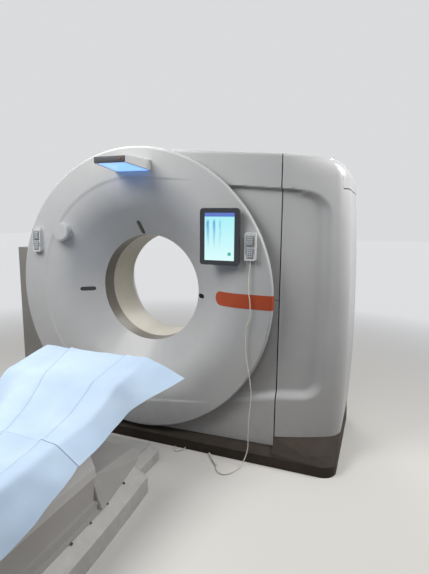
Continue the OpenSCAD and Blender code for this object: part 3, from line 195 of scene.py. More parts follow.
@dataclass(frozen=True)
class Finish:
    """One surface: what it is made of, and how it was made.

    Sizes are in millimetres. Clouds are the slow change of tone over a panel. Grain is the
    relief that breaks the gloss up, drawn coarser than the real one so that it shows.
    """

    name: str
    colour: str
    shade: str
    roughness: float
    ior: float = 1.5
    metallic: float = 0.0
    clouds_mm: float = 260.0
    grain_mm: float = 2.0
    grain_deep_mm: float = 0.03
    coat: float = 0.0
    sheen: float = 0.0
    # How much dirt and painted shade of the floor's bounce darken the surface near the floor,
    # and their colour.
    dust_and_shade: float = 0.0
    dust_and_shade_colour: str = "#6A6259"

    def paint(self, tree: Tree, place: Socket) -> Socket:
        """Mixes the surface's colour, darkened by dirt and painted shade where it stands near
        the floor.

        Args:
            tree: the material's node tree.
            place: the coordinates to read.

        Returns:
            The socket of the colour.
        """
        clouds = soft_patches(tree, place, self.clouds_mm, CLOUD_DETAIL, CLOUD_EDGES)
        tones = {"Factor": clouds, MIX_FIRST: linear(self.colour)}
        tones[MIX_SECOND] = linear(self.shade)
        colour = add_node(tree, "Mix", tones, data_type="RGBA").outputs[MIXED]
        # Dirt and painted shade: darker towards the floor, in patches.
        if self.dust_and_shade:
            height = add_node(tree, "SeparateXYZ", {0: place}).outputs["Z"]
            fade = {"Value": height, "From Max": DUST_AND_SHADE_HIGH, "To Min": self.dust_and_shade, "To Max": 0.0}
            low = add_node(tree, "MapRange", fade).outputs["Result"]
            patches = soft_patches(tree, place, PATCH_MM, PATCH_DETAIL, PATCH_EDGES)
            share = add_node(tree, "Math", {0: low, 1: patches}, operation="MULTIPLY")
            tones = {"Factor": share.outputs[0], MIX_FIRST: colour}
            tones[MIX_SECOND] = linear(self.dust_and_shade_colour)
            colour = add_node(tree, "Mix", tones, data_type="RGBA").outputs[MIXED]
        return colour

    def relief(self, tree: Tree, place: Socket) -> Socket:
        """Gives the fine relief.

        Args:
            tree: the material's node tree.
            place: the coordinates to read.

        Returns:
            The socket of the height, from 0 to 1.
        """
        grain = {"Vector": place, "Scale": 1 / (self.grain_mm * MM), "Detail": GRAIN_DETAIL}
        return add_node(tree, "TexNoise", grain).outputs["Fac"]

    def gloss(self, tree: Tree, place: Socket) -> Socket:
        """Gives the roughness, which wiping and handling leave a little uneven.

        Args:
            tree: the material's node tree.
            place: the coordinates to read.

        Returns:
            The socket of the roughness.
        """
        size_mm = self.clouds_mm * SMEAR_SHARE
        low, high = (min(1.0, self.roughness * share) for share in GLOSS_RANGE)
        return soft_patches(tree, place, size_mm, SMEAR_DETAIL, SMEAR_EDGES, (low, high))

    def shader(self, tree: Tree, place: Socket) -> Node:
        """Builds the surface shader with its colour, gloss and relief.

        Args:
            tree: the material's node tree.
            place: the coordinates to read.

        Returns:
            The shader node.
        """
        bump = add_node(
            tree,
            "Bump",
            {
                "Strength": 1.0,
                "Distance": self.grain_deep_mm * MM,
                "Height": self.relief(tree, place),
            },
        )
        values: dict[str | int, object] = {
            "Base Color": self.paint(tree, place),
            "Roughness": self.gloss(tree, place),
            "Metallic": self.metallic,
            "Normal": bump.outputs["Normal"],
        }
        if not self.metallic:
            values["IOR"] = self.ior
        if self.coat:
            values["Coat Weight"] = self.coat
            values["Coat Roughness"] = COAT_ROUGHNESS
        if self.sheen:
            values["Sheen Weight"] = self.sheen
            values["Sheen Roughness"] = SHEEN_ROUGHNESS
        return add_node(tree, "BsdfPrincipled", values)

    def build(self) -> bpy.types.Material:
        """Makes the Blender material.

        Returns:
            The material, named for the finish.
        """
        material = bpy.data.materials.new(self.name)
        material.use_nodes = True
        tree = material.node_tree
        tree.nodes.clear()
        # Object coordinates are metres of the shared frame, as no piece is moved.
        place = add_node(tree, "TexCoord").outputs["Object"]
        shader = self.shader(tree, place)
        add_node(tree, "OutputMaterial", {"Surface": shader.outputs[0]})
        material.diffuse_color = linear(self.colour)
        return material


@dataclass(frozen=True)
class TurnedMetal(Finish):
    """Bare metal with the fine lines that turning, milling or brushing leaves."""

    lines_mm: float = 3.0
    lines_stretch: float = 0.06

    def relief(self, tree: Tree, place: Socket) -> Socket:
        """Draws long thin lines, coarser than the real ones so that they show.

        Args:
            tree: the material's node tree.
            place: the coordinates to read.

        Returns:
            The socket of the height, from 0 to 1.
        """
        stretch = {"Vector": place, "Scale": (self.lines_stretch, 1.0, 1.0)}
        lines = {
            "Vector": add_node(tree, "Mapping", stretch).outputs[0],
            "Scale": 1 / (self.lines_mm * MM),
            "Detail": CLOUD_DETAIL,
        }
        return add_node(tree, "TexNoise", lines).outputs["Fac"]


@dataclass(frozen=True)
class ClothWithPaintedCreaseShade(Finish):
    """Pale fibre sheet, with painted shade in thin grey lines along its packing folds.

    The lines of painted shade are drawn coarser than the real ones so that they show, and the
    ones across are boldest from one fold to the hanging side.
    """

    # The colour of the painted shade along the folds, the widths and strengths of its lines, and
    # where the painted shade across turns bold.
    line: str = "#6F8196"
    line_mm: float = 5.0
    line_share: float = 0.75
    line_edges: tuple[float, float] = (0.2, 0.5)
    cross_line_mm: float = 8.0
    cross_line_share: float = 0.95
    bold_from: float = 0.150
    bold_run: float = 0.01
    faint: float = 0.22

    def paint(self, tree: Tree, place: Socket) -> Socket:
        """Paints shade along the folds over the cloth's own colour.

        Args:
            tree: the material's node tree.
            place: the coordinates to read.

        Returns:
            The socket of the colour.
        """
        colour = super().paint(tree, place)
        limits = {
            "Value": add_node(tree, "SeparateXYZ", {0: place}).outputs["X"],
            "From Min": self.bold_from,
            "From Max": self.bold_from + self.bold_run,
            "To Min": self.faint,
        }
        bold = add_node(tree, "MapRange", limits).outputs["Result"]
        folds = []
        for at, lean in CREASES:
            across, off = (1.0, -lean, 0.0), at - lean * CREASE_Y
            folds.append(self.painted_shade_line(tree, place, across, off, self.line_mm, self.line_share))
        for at in CROSS_CREASES:
            wide_mm, share = self.cross_line_mm, self.cross_line_share
            line = self.painted_shade_line(tree, place, (0.0, 1.0, 0.0), at, wide_mm, share)
            fold = add_node(tree, "Math", {0: line, 1: bold}, operation="MULTIPLY")
            folds.append(fold.outputs[0])
        painted_shade_lines = folds[0]
        for fold in folds[1:]:
            most = add_node(tree, "Math", {0: painted_shade_lines, 1: fold}, operation="MAXIMUM")
            painted_shade_lines = most.outputs[0]
        # The lines are painted shade laid over the cloth's colour.
        tones = {"Factor": painted_shade_lines, MIX_FIRST: colour, MIX_SECOND: linear(self.line)}
        return add_node(tree, "Mix", tones, data_type="RGBA").outputs[MIXED]

    def painted_shade_line(
        self,
        tree: Tree,
        place: Socket,
        across: Point,
        at: float,
        wide_mm: float,
        share: float,
    ) -> Socket:
        """Draws the thin line of painted shade along one fold.

        Args:
            tree: the material's node tree.
            place: the coordinates to read.
            across: the way across the line.
            at: how far along that way the line lies, in metres.
            wide_mm: the line's width.
            share: how much of the line's colour shows at its middle.

        Returns:
            The socket of the line's share.
        """
        run = add_node(tree, "VectorMath", {0: place, 1: across}, operation="DOT_PRODUCT")
        off = add_node(tree, "Math", {0: run.outputs["Value"], 1: at}, operation="SUBTRACT")
        away = add_node(tree, "Math", {0: off.outputs[0]}, operation="ABSOLUTE")
        limits = {
            "Value": away.outputs[0],
            "From Min": self.line_edges[0] * wide_mm * MM,
            "From Max": self.line_edges[1] * wide_mm * MM,
            "To Min": share,
            "To Max": 0.0,
        }
        return add_node(tree, "MapRange", limits).outputs["Result"]


@dataclass(frozen=True)
class LitPanel(Finish):
    """A plastic diffuser that is lit from behind."""

    glow: str = "#7FB4FF"
    strength: float = 1.0

    def shader(self, tree: Tree, place: Socket) -> Node:
        """Adds the panel's own light to the plain surface.

        Args:
            tree: the material's node tree.
            place: the coordinates to read.

        Returns:
            The shader node.
        """
        shader = super().shader(tree, place)
        shader.inputs["Emission Color"].default_value = linear(self.glow)
        shader.inputs["Emission Strength"].default_value = self.strength
        return shader


@dataclass(frozen=True)
class Display(LitPanel):
    """A lit screen with a plain made-up picture: a header and soft upright shapes.

    The screen's frame is given as its middle and its size, in metres of the shared frame.
    Edges and places in the picture are shares of its width or its height, and the knob's
    edge is given as squares of them.
    """

    middle: tuple[float, float] = (0.571, 1.328)
    size: tuple[float, float] = (0.174, 0.261)
    header: str = "#5C77C9"
    ground: str = "#A6F2FA"
    low: str = "#DCFFFF"
    shape: str = "#5FA6DE"
    knob: str = "#3FB8A4"
    stripe_scale: float = 9.0
    stripe_bend: float = 2.5
    stripe_edges: tuple[float, float] = (0.45, 0.95)
    stripe_right: tuple[float, float] = (0.45, 0.60)
    stripe_foot: tuple[float, float] = (0.25, 0.80)
    stripe_head: tuple[float, float] = (0.80, 0.88)
    header_edge: tuple[float, float] = (0.915, 0.925)
    knob_place: tuple[float, float] = (0.84, 0.14)
    knob_high: float = 1.5
    knob_edge: tuple[float, float] = (0.0025, 0.0045)

    def stripes(self, tree: Tree, place: Socket, u: Socket, v: Socket) -> Socket:
        """Draws the soft upright shapes.

        Args:
            tree: the material's node tree.
            place: the coordinates to read.
            u: the share of the way across the screen.
            v: the share of the way up the screen.

        Returns:
            The socket of the shapes' share.
        """
        waves = add_node(
            tree,
            "TexWave",
            {"Vector": place, "Scale": self.stripe_scale, "Distortion": self.stripe_bend},
            bands_direction="X",
        )
        limits = []
        for value, edges, (start, end) in (
            (waves.outputs["Fac"], self.stripe_edges, (0.0, 1.0)),
            (u, self.stripe_right, (1.0, 0.0)),
            (v, self.stripe_foot, (0.0, 1.0)),
            (v, self.stripe_head, (1.0, 0.0)),
        ):
            values = {"Value": value, "From Min": edges[0], "From Max": edges[1]}
            values |= {"To Min": start, "To Max": end}
            limits.append(add_node(tree, "MapRange", values).outputs["Result"])
        shapes = limits[0]
        for limit in limits[1:]:
            both = add_node(tree, "Math", {0: shapes, 1: limit}, operation="MULTIPLY")
            shapes = both.outputs[0]
        return shapes

    def round_knob(self, tree: Tree, u: Socket, v: Socket) -> Socket:
        """Draws the round knob in the picture's corner.

        Args:
            tree: the material's node tree.
            u: the share of the way across the screen.
            v: the share of the way up the screen.

        Returns:
            The socket of the knob's share.
        """
        at = add_node(tree, "CombineXYZ", {"X": u, "Y": v}).outputs[0]
        for way, values in (
            ("SUBTRACT", (*self.knob_place, 0.0)),
            ("MULTIPLY", (1.0, self.knob_high, 0.0)),
        ):
            at = add_node(tree, "VectorMath", {0: at, 1: values}, operation=way).outputs[0]
        square = add_node(tree, "VectorMath", {0: at, 1: at}, operation="DOT_PRODUCT")
        limits = {
            "Value": square.outputs["Value"],
            "From Min": self.knob_edge[0],
            "From Max": self.knob_edge[1],
            "To Min": 1.0,
            "To Max": 0.0,
        }
        return add_node(tree, "MapRange", limits).outputs["Result"]

    def shader(self, tree: Tree, place: Socket) -> Node:
        """Draws the picture from the place on the screen and lets it glow.

        Args:
            tree: the material's node tree.
            place: the coordinates to read.

        Returns:
            The shader node.
        """
        shader = super().shader(tree, place)
        parts = add_node(tree, "SeparateXYZ", {0: place}).outputs
        shares = []
        for axis, middle, size in zip("XZ", self.middle, self.size):
            ends = {"From Min": middle - size / 2, "From Max": middle + size / 2}
            share = add_node(tree, "MapRange", {"Value": parts[axis], **ends})
            shares.append(share.outputs["Result"])
        u, v = shares
        edge = {"From Min": self.header_edge[0], "From Max": self.header_edge[1]}
        header = add_node(tree, "MapRange", {"Value": v, **edge}).outputs["Result"]
        picture = linear(self.low)
        for share, colour in (
            (v, self.ground),
            (self.stripes(tree, place, u, v), self.shape),
            (header, self.header),
            (self.round_knob(tree, u, v), self.knob),
        ):
            tones = {"Factor": share, MIX_FIRST: picture, MIX_SECOND: linear(colour)}
            picture = add_node(tree, "Mix", tones, data_type="RGBA").outputs[MIXED]
        tree.links.new(picture, shader.inputs["Emission Color"])
        return shader


# Reaction-moulded polyurethane, painted satin off-white: an even tone, softly broken by a faint
# orange peel. The peel is drawn coarser than the real one so that it shows. Near the floor it is
# darkened by painted shade of the dark floor's bounce.
COVER_WHITE = Finish(
    "painted_moulded_cover",
    "#BEC0C1",
    "#B8BABC",
    0.38,
    grain_mm=7.0,
    grain_deep_mm=0.02,
    coat=0.15,
    dust_and_shade=0.25,
)

FINISHES: dict[str, Finish] = {
    "cover_white": COVER_WHITE,
    # Folded steel in warm dark grey texture paint: dull, with dust near the floor.
    "plinth_grey": Finish(
        "textured_plinth_paint",
        "#3A332D",
        "#342E28",
        0.72,
        ior=1.35,
        grain_deep_mm=0.06,
        dust_and_shade=0.12,
    ),
    # The same kind of paint in a cooler light grey: half dull and finely pebbled.
    "base_grey": Finish(
        "textured_grey_paint", "#8C8C89", "#848481", 0.5, grain_deep_mm=0.06, dust_and_shade=0.3
    ),
    # Tinted polyester film under tension: smooth and warm grey, with a soft gloss.
    "window_film": Finish("tinted_polyester_film", "#7E776C", "#6C655B", 0.36),
    # Thermoformed ABS of the tunnel: warm pale plastic with a satin gloss.
    "tunnel_beige": Finish("formed_tunnel_plastic", "#E0DCCE", "#D8D4C6", 0.42),
    # ABS from a spark-eroded mould: dark grey, with a fine even grain and little gloss.
    "hood_grey": Finish("grained_dark_plastic", "#45484D", "#3E4146", 0.45),
    # Opal acrylic, lit from behind by blue light-emitting diodes: it glows evenly.
    "blue_lens": LitPanel(
        "lit_opal_acrylic", "#A4C4F5", "#9ABAEA", 0.3, glow="#7FB0FF", strength=1.25
    ),
    # Self-adhesive film, printed orange: one flat strong tone with a low gloss.
    "orange_paint": Finish("orange_film", "#B0481F", "#A8421B", 0.45),
    # Injection-moulded ABS of the small fittings: light grey and satin.
    "fitting_grey": Finish("light_moulded_plastic", "#D6D8D8", "#CDCFCF", 0.42),
    # Glass with a black coat on its back: nearly black, with sharp reflections.
    "tablet_black": Finish("black_coated_glass", "#121B28", "#0F1722", 0.14, coat=0.6),
    # Display behind cover glass: its picture glows through a clear gloss.
    "screen_glass": Display("lit_display", "#0B1016", "#0B1016", 0.1, strength=0.95),
    # Cast black acrylic of the laser windows: nearly black and glossy.
    "dark_glass": Finish("black_acrylic", "#0D0F11", "#15181B", 0.12, coat=0.5),
    # Steel with a black oxide coat: dark, and too dull to look like bare metal.
    "dark_screw": Finish("blackened_steel", "#26282A", "#1E2022", 0.4),
    # Extruded soft PVC of the leads: off-white and half dull.
    "lead_white": Finish("soft_cable_sheath", "#E6E2D8", "#DDD8CC", 0.45),
    # Two-part paint on the welded frame: blue-grey and satin.
    "frame_paint": Finish("frame_paint", "#4A535D", "#434B54", 0.45),
    # Turned and milled steel: bright bare metal, streaked by its cutting lines.
    "machined_steel": TurnedMetal(
        "machined_steel", "#A3A8AD", "#8F959B", 0.3, metallic=1.0
    ),
    # Cast aluminium, machined where it fits: paler and softer in gloss than the steel.
    "cast_aluminium": TurnedMetal(
        "cast_aluminium", "#B9BDC0", "#A8ACB0", 0.42, metallic=1.0
    ),
    # Powder coat on folded sheet steel: one even grey with a fine pebble.
    "sheet_metal": Finish("powder_coat", "#8E979E", "#858E95", 0.5, grain_deep_mm=0.05),
    # Turned brass of the slip ring's tracks: warm bright metal with fine lines.
    "brass_track": TurnedMetal("turned_brass", "#C49A54", "#B08643", 0.28, metallic=1.0),
    # Stoved blue enamel of the motors: a deep tone below a glossy skin.
    "motor_paint": Finish("motor_enamel", "#3C5A72", "#345066", 0.35, coat=0.3),
    # Moulded neoprene of the belt and the seals: nearly black and dull.
    "belt_rubber": Finish("belt_rubber", "#1F2123", "#191B1C", 0.7),
    # Moulded table covers, painted light grey: satin, and darker towards the floor.
    "table_grey": Finish(
        "painted_table_cover", "#D2D2D0", "#CBCBC9", 0.4, coat=0.1, dust_and_shade=0.25
    ),
    # The same kind of cover painted mid grey, without the top coat's gloss.
    "table_dark": Finish("painted_carriage_cover", "#B6B5B3", "#AFAEAC", 0.42),
    # Carbon fibre board with a matt clear coat: dark, with a soft even gloss.
    "table_board": Finish("matt_composite_board", "#3B3F44", "#33373B", 0.45),
    # Embossed vinyl of the mattress: blue-grey, with a leathery grain drawn coarser than
    # the real one so that it shows.
    "pad_vinyl": Finish("embossed_vinyl", "#4A5560", "#434D57", 0.5, grain_mm=3.0),
    # Knitted cotton cover of the head support: white and quite dull.
    "pillow_cloth": Finish("knitted_cotton_cover", "#E9EDF2", "#DEE2E8", 0.85),
    # Bonded polypropylene fibre, pale blue: dull, with a faint sheen at flat angles, and painted
    # shade along its packing creases.
    "sheet_cloth": ClothWithPaintedCreaseShade("bonded_fibre_sheet_with_painted_crease_shade", "#BDD2E8", "#B2C8E0", 0.85, sheen=0.1),
}


class Paints:
    """Builds each finish once and lays it on pieces by the record's slot name."""

    def __init__(self) -> None:
        """Starts with no material made."""
        self._made: dict[str, bpy.types.Material] = {}

    def of(self, slot: str) -> bpy.types.Material:
        """Gives the material of a slot, and makes it the first time.

        Args:
            slot: the record's material slot.

        Returns:
            The slot's material.
        """
        if slot not in self._made:
            self._made[slot] = FINISHES[slot].build()
        return self._made[slot]

    def lay(self, piece: Piece, slot: str, body: Body = Body.STAND) -> Piece:
        """Gives a new piece its finish and the body that carries it.

        Args:
            piece: a finished piece that stands in the shared frame.
            slot: the record's material slot.
            body: the CAD body.

        Returns:
            The same piece.
        """
        piece.data.materials.clear()
        piece.data.materials.append(self.of(slot))
        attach(piece, body.value)
        LOG.info("piece %s in %s rides on %s", piece.name, slot, body.value)
        return piece

    def lay_on_frame(self) -> None:
        """Gives every CAD node the finish of its own slot."""
        for name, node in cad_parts.items():
            for place in node.material_slots:
                slot = place.material.name.split(".")[0]
                place.material = self.of(slot)
                LOG.info("node %s takes %s", name, slot)


# Shapes


def smooth_rise(value: np.ndarray, low: float, high: float) -> np.ndarray:
    """Rises softly from 0 to 1.

    Args:
        value: the values to map.
        low: where the rise starts.
        high: where the rise ends.

    Returns:
        The share of the rise at each value.
    """
    t = np.clip((value - low) / (high - low), 0.0, 1.0)
    return t * t * (3 - 2 * t)


def arc_points(
    centre: tuple[float, float], radius: float, start: float, end: float, steps: int
) -> list[tuple[float, float]]:
    """Gives points on an arc.

    Args:
        centre: the arc's centre.
        radius: its radius.
        start: the angle of its first point, in degrees.
        end: the angle of its last point, in degrees.
        steps: how many pieces it is cut into.

    Returns:
        The points, both ends included.
    """
    angles = np.radians(np.linspace(start, end, steps + 1))
    return [
        (centre[0] + radius * math.cos(a), centre[1] + radius * math.sin(a))
        for a in angles
    ]


def run_softly(values: np.ndarray, reach: int, axis: int) -> np.ndarray:
    """Evens an array out along one axis and keeps its ends.

    Args:
        values: the array.
        reach: how many neighbours on each side count.
        axis: the axis to run along.

    Returns:
        The evened array.
    """
    weights = np.hanning(2 * reach + 3)[1:-1]
    weights /= weights.sum()
    moved = np.moveaxis(values, axis, 0)
    first = 2 * moved[:1] - moved[reach:0:-1]
    last = 2 * moved[-1:] - moved[-2 : -reach - 2 : -1]
    padded = np.concatenate([first, moved, last])
    rows = len(moved)
    summed_up = sum(w * padded[i : i + rows] for i, w in enumerate(weights))
    return np.moveaxis(summed_up, 0, axis)


def select_only(piece: Piece) -> None:
    """Selects one object and makes it the active one.

    Args:
        piece: the object.
    """
    bpy.ops.object.select_all(action="DESELECT")
    piece.select_set(True)
    bpy.context.view_layer.objects.active = piece


def apply_modifier(piece: Piece, kind: str, **settings: object) -> None:
    """Adds a modifier and applies it.

    Args:
        piece: the object that takes it.
        kind: the modifier's type.
        settings: the modifier's own properties.
    """
    select_only(piece)
    modifier = piece.modifiers.new(kind.lower(), kind)
    for name, value in settings.items():
        setattr(modifier, name, value)
    bpy.ops.object.modifier_apply(modifier=modifier.name)


def close_up(piece: Piece, angle: float = 35.0) -> Piece:
    """Merges doubles, turns the faces outward and shades by angle.

    Args:
        piece: the object.
        angle: the sharpest bend, in degrees, that is still shaded smooth.

    Returns:
        The same object.
    """
    mesh = bmesh.new()
    mesh.from_mesh(piece.data)
    bmesh.ops.remove_doubles(mesh, verts=mesh.verts, dist=MERGE_WITHIN)
    bmesh.ops.dissolve_degenerate(mesh, edges=mesh.edges, dist=THINNEST)
    bmesh.ops.recalc_face_normals(mesh, faces=mesh.faces)
    mesh.to_mesh(piece.data)
    mesh.free()
    select_only(piece)
    bpy.ops.object.shade_smooth_by_angle(angle=math.radians(angle))
    return piece


def grid_piece(
    name: str, points: np.ndarray, thick: float = 0.0, kept: np.ndarray | None = None
) -> Piece:
    """Bends a flat grid to a surface and gives it a thickness.

    Args:
        name: the piece's name.
        points: the surface as columns x rows x 3, in metres.
        thick: the wall's thickness behind the surface, or 0 for none.
        kept: which cells stay, as (columns - 1) x (rows - 1), or all of them.

    Returns:
        The finished piece.
    """
    columns, rows = points.shape[:2]
    bpy.ops.mesh.primitive_grid_add(
        x_subdivisions=columns - 1, y_subdivisions=rows - 1, size=2
    )
    piece = bpy.context.object
    piece.name = piece.data.name = name
    flat = np.empty(len(piece.data.vertices) * 3)
    piece.data.vertices.foreach_get("co", flat)
    flat = flat.reshape(-1, 3)
    i = np.rint((flat[:, 0] + 1) / 2 * (columns - 1)).astype(int)
    j = np.rint((flat[:, 1] + 1) / 2 * (rows - 1)).astype(int)
    if kept is not None:
        mesh = bmesh.new()
        mesh.from_mesh(piece.data)
        gone = []
        for face in mesh.faces:
            column = min(i[v.index] for v in face.verts)
            row = min(j[v.index] for v in face.verts)
            if not kept[column, row]:
                gone.append(face)
        for vert in mesh.verts:
            vert.co = points[i[vert.index], j[vert.index]]
        bmesh.ops.delete(mesh, geom=gone, context="FACES")
        mesh.to_mesh(piece.data)
        mesh.free()
    else:
        piece.data.vertices.foreach_set("co", points[i, j].ravel())
        piece.data.update()
    close_up(piece)
    if thick:
        apply_modifier(piece, "SOLIDIFY", thickness=thick, offset=-1.0)
    return close_up(piece)


def rounded_box(
    name: str, low: Sequence[float], high: Sequence[float], radius: float, steps: int = 3
) -> Piece:
    """Makes a box with round edges.

    Args:
        name: the piece's name.
        low: its lowest corner.
        high: its highest corner.
        radius: the radius of its edges.
        steps: the faces along each round edge.

    Returns:
        The finished piece, with its origin at the frame's.
    """
    size = Vector(high) - Vector(low)
    bpy.ops.mesh.primitive_cube_add(size=1)
    piece = bpy.context.object
    piece.name = piece.data.name = name
    for vert in piece.data.vertices:
        vert.co = Vector(low) + Vector(
            (vert.co[axis] + 0.5) * size[axis] for axis in range(3)
        )
    bpy.ops.object.mode_set(mode="EDIT")
    bpy.ops.mesh.select_all(action="SELECT")
    bpy.ops.mesh.bevel(offset=min(radius, WIDEST_ROUND * min(size)), segments=steps)
    bpy.ops.object.mode_set(mode="OBJECT")
    return close_up(piece, BOX_ANGLE)


def merged_copy(node: str, name: str) -> Piece:
    """Copies a CAD node as a new piece with its doubles merged.

    Args:
        node: the CAD node.
        name: the piece's name.

    Returns:
        The new piece, which doesn't replace the node yet.
    """
    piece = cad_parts[node].copy()
    piece.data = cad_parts[node].data.copy()
    piece.name = piece.data.name = name
    piece.parent = None
    piece.matrix_world = Matrix.Identity(4)
    for key in list(piece.keys()):
        del piece[key]
    bpy.context.scene.collection.objects.link(piece)
    return close_up(piece)


# The front


@dataclass
class FrontDisc:
    """The round face: funnel, soft bend, flat rim, and the ring that stands proud of it.

    The ring ends on the right in two joints, whose slopes are in degrees, and fades out
    between the two places across of each fade. The face stays plain between the joints, up
    to the open share of their radius.
    """

    paints: Paints
    axis_z: float = 0.974
    bore_r: float = 0.350
    rim_y: float = -0.0531
    face_y: float = -0.240
    back_y: float = -0.210
    funnel_r: float = 0.600
    blend: float = 0.110
    outer_r: float = 0.871
    lip_r: float = 0.012
    joint_r: float = 0.690
    open_share: float = 0.5
    upper_slope: float = 4.0
    lower_slope: float = 6.5
    upper_fade: tuple[float, float] = (0.16, 0.42)
    lower_fade: tuple[float, float] = (0.30, 0.60)
    proud: float = 0.0045
    step: float = 0.006
    wall: float = 0.004
    columns: int = 420
    funnel_rows: int = 8
    bend_rows: int = 26
    flat_rows: int = 44
    lip_rows: int = 7

    def section(self) -> list[tuple[float, float]]:
        """Draws half a section of the face from the bore outward.

        Returns:
            The radius and the depth of each point.
        """
        tilt = math.atan((self.rim_y - self.face_y) / (self.funnel_r - self.bore_r))
        bend_r = self.blend / math.tan(tilt / 2)
        centre = (self.funnel_r + self.blend, self.face_y + bend_r)
        bend = arc_points(centre, bend_r, -90 - math.degrees(tilt), -90, self.bend_rows)
        start = [
            (
                self.bore_r + (bend[0][0] - self.bore_r) * t,
                self.rim_y + (bend[0][1] - self.rim_y) * t,
            )
            for t in np.linspace(0, 1, self.funnel_rows + 1)[:-1]
        ]
        flat_end = self.outer_r - self.lip_r
        radii = np.linspace(bend[-1][0], flat_end, self.flat_rows)[1:-1]
        flat = [(r, self.face_y) for r in radii]
        lip = arc_points((flat_end, self.face_y + self.lip_r), self.lip_r, -90, 0, self.lip_rows)
        return [*start, *bend, *flat, *lip, (self.outer_r, self.back_y)]

    def ring_height(self, x: np.ndarray, z: np.ndarray) -> np.ndarray:
        """Gives how far the outer ring stands proud at a place on the face.

        Args:
            x: places to the right of the bore axis.
            z: heights above the bore axis.

        Returns:
            The heights of the ring, which fade out to the right.
        """
        away = np.hypot(x, z) - self.joint_r
        for sign, slope in ((1, self.upper_slope), (-1, self.lower_slope)):
            turn = math.radians(slope)
            along = x * math.sin(turn) + sign * z * math.cos(turn) - self.joint_r
            beyond = (x > self.joint_r * math.sin(turn)) & (sign * z > 0)
            away = np.where(beyond, along, away)
        between = (x > 0) & (np.abs(z) < self.open_share * self.joint_r)
        away = np.where(between, -self.joint_r, away)
        upper = 1 - smooth_rise(x, *self.upper_fade)
        lower = 1 - smooth_rise(x, *self.lower_fade)
        share = np.where(z > 0, upper, lower)
        return self.proud * share * smooth_rise(away, 0.0, self.step)

    def build(self) -> Piece:
        """Makes the face as one skin.

        Returns:
            The skin, which replaces the face and its ring.
        """
        section = np.array(self.section())
        turn = np.linspace(0, 2 * math.pi, self.columns + 1)[:, None]
        x = section[None, :, 0] * np.sin(turn)
        z = section[None, :, 0] * np.cos(turn)
        y = np.broadcast_to(section[None, :, 1], x.shape).copy()
        y[:, :-1] -= self.ring_height(x, z)[:, :-1]
        points = np.stack([x, y, z + self.axis_z], axis=-1)
        skin = grid_piece("face_skin", points, self.wall)
        self.paints.lay(skin, "cover_white")
        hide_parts("front_face", "front_ring")
        return skin


@dataclass
class Recess:
    """The shallow field that is pressed into the covers to the right of the disc.

    Slopes are in degrees. Its right edge bows inward above and below the bow's height. Its
    edges are soft ramps, and only the top edge stays crisp up to the upper corner.
    """

    depth: float = 0.027
    top_z: float = 1.615
    top_x: float = 0.600
    top_slope: float = -4.2
    bottom_z: float = 0.324
    bottom_x: float = 0.600
    bottom_slope: float = 11.3
    bottom_level_x: float = 0.900
    right_x: float = 1.158
    right_bow: float = 0.012
    bow_z: float = 1.0
    bow_half: float = 0.6
    upper_r: float = 0.135
    lower_r: float = 0.110
    upper_ramp: float = 0.014
    side_ramp: float = 0.045
    lower_ramp: float = 0.062
    crisp_run: float = 0.05

    @staticmethod
    def cornered(first: np.ndarray, second: np.ndarray, radius: float) -> np.ndarray:
        """Gives the distance inside two edges that meet in a round corner.

        Args:
            first: the distances inside one edge.
            second: the distances inside the other edge.
            radius: the corner's radius.

        Returns:
            The distances inside the outline that they make.
        """
        both = (first < radius) & (second < radius)
        round_part = radius - np.hypot(radius - first, radius - second)
        return np.where(both, round_part, np.minimum(first, second))

    def push(self, x: np.ndarray, z: np.ndarray) -> np.ndarray:
        """Gives how deep the field is pressed in at places on the covers.

        Args:
            x: places to the right of the bore axis.
            z: heights above the floor.

        Returns:
            The depths behind the covers' outer surface.
        """
        top = self.top_z + (x - self.top_x) * math.tan(math.radians(self.top_slope))
        rise = np.minimum(x, self.bottom_level_x) - self.bottom_x
        bottom = self.bottom_z + rise * math.tan(math.radians(self.bottom_slope))
        right = self.right_x - self.right_bow * ((z - self.bow_z) / self.bow_half) ** 2 - x
        upper = self.cornered(top - z, right, self.upper_r)
        lower = self.cornered(z - bottom, right, self.lower_r)
        crisp = smooth_rise(top - z, 0.0, self.upper_ramp)
        share = np.minimum(crisp, smooth_rise(upper, 0.0, self.side_ramp))
        share = np.minimum(share, smooth_rise(lower, 0.0, self.lower_ramp))
        near_top = smooth_rise(right, self.upper_r, self.upper_r + self.crisp_run)
        low = smooth_rise(z - bottom, 0.0, self.lower_ramp)
        return self.depth * (share * (1 - near_top) + np.minimum(crisp, low) * near_top)


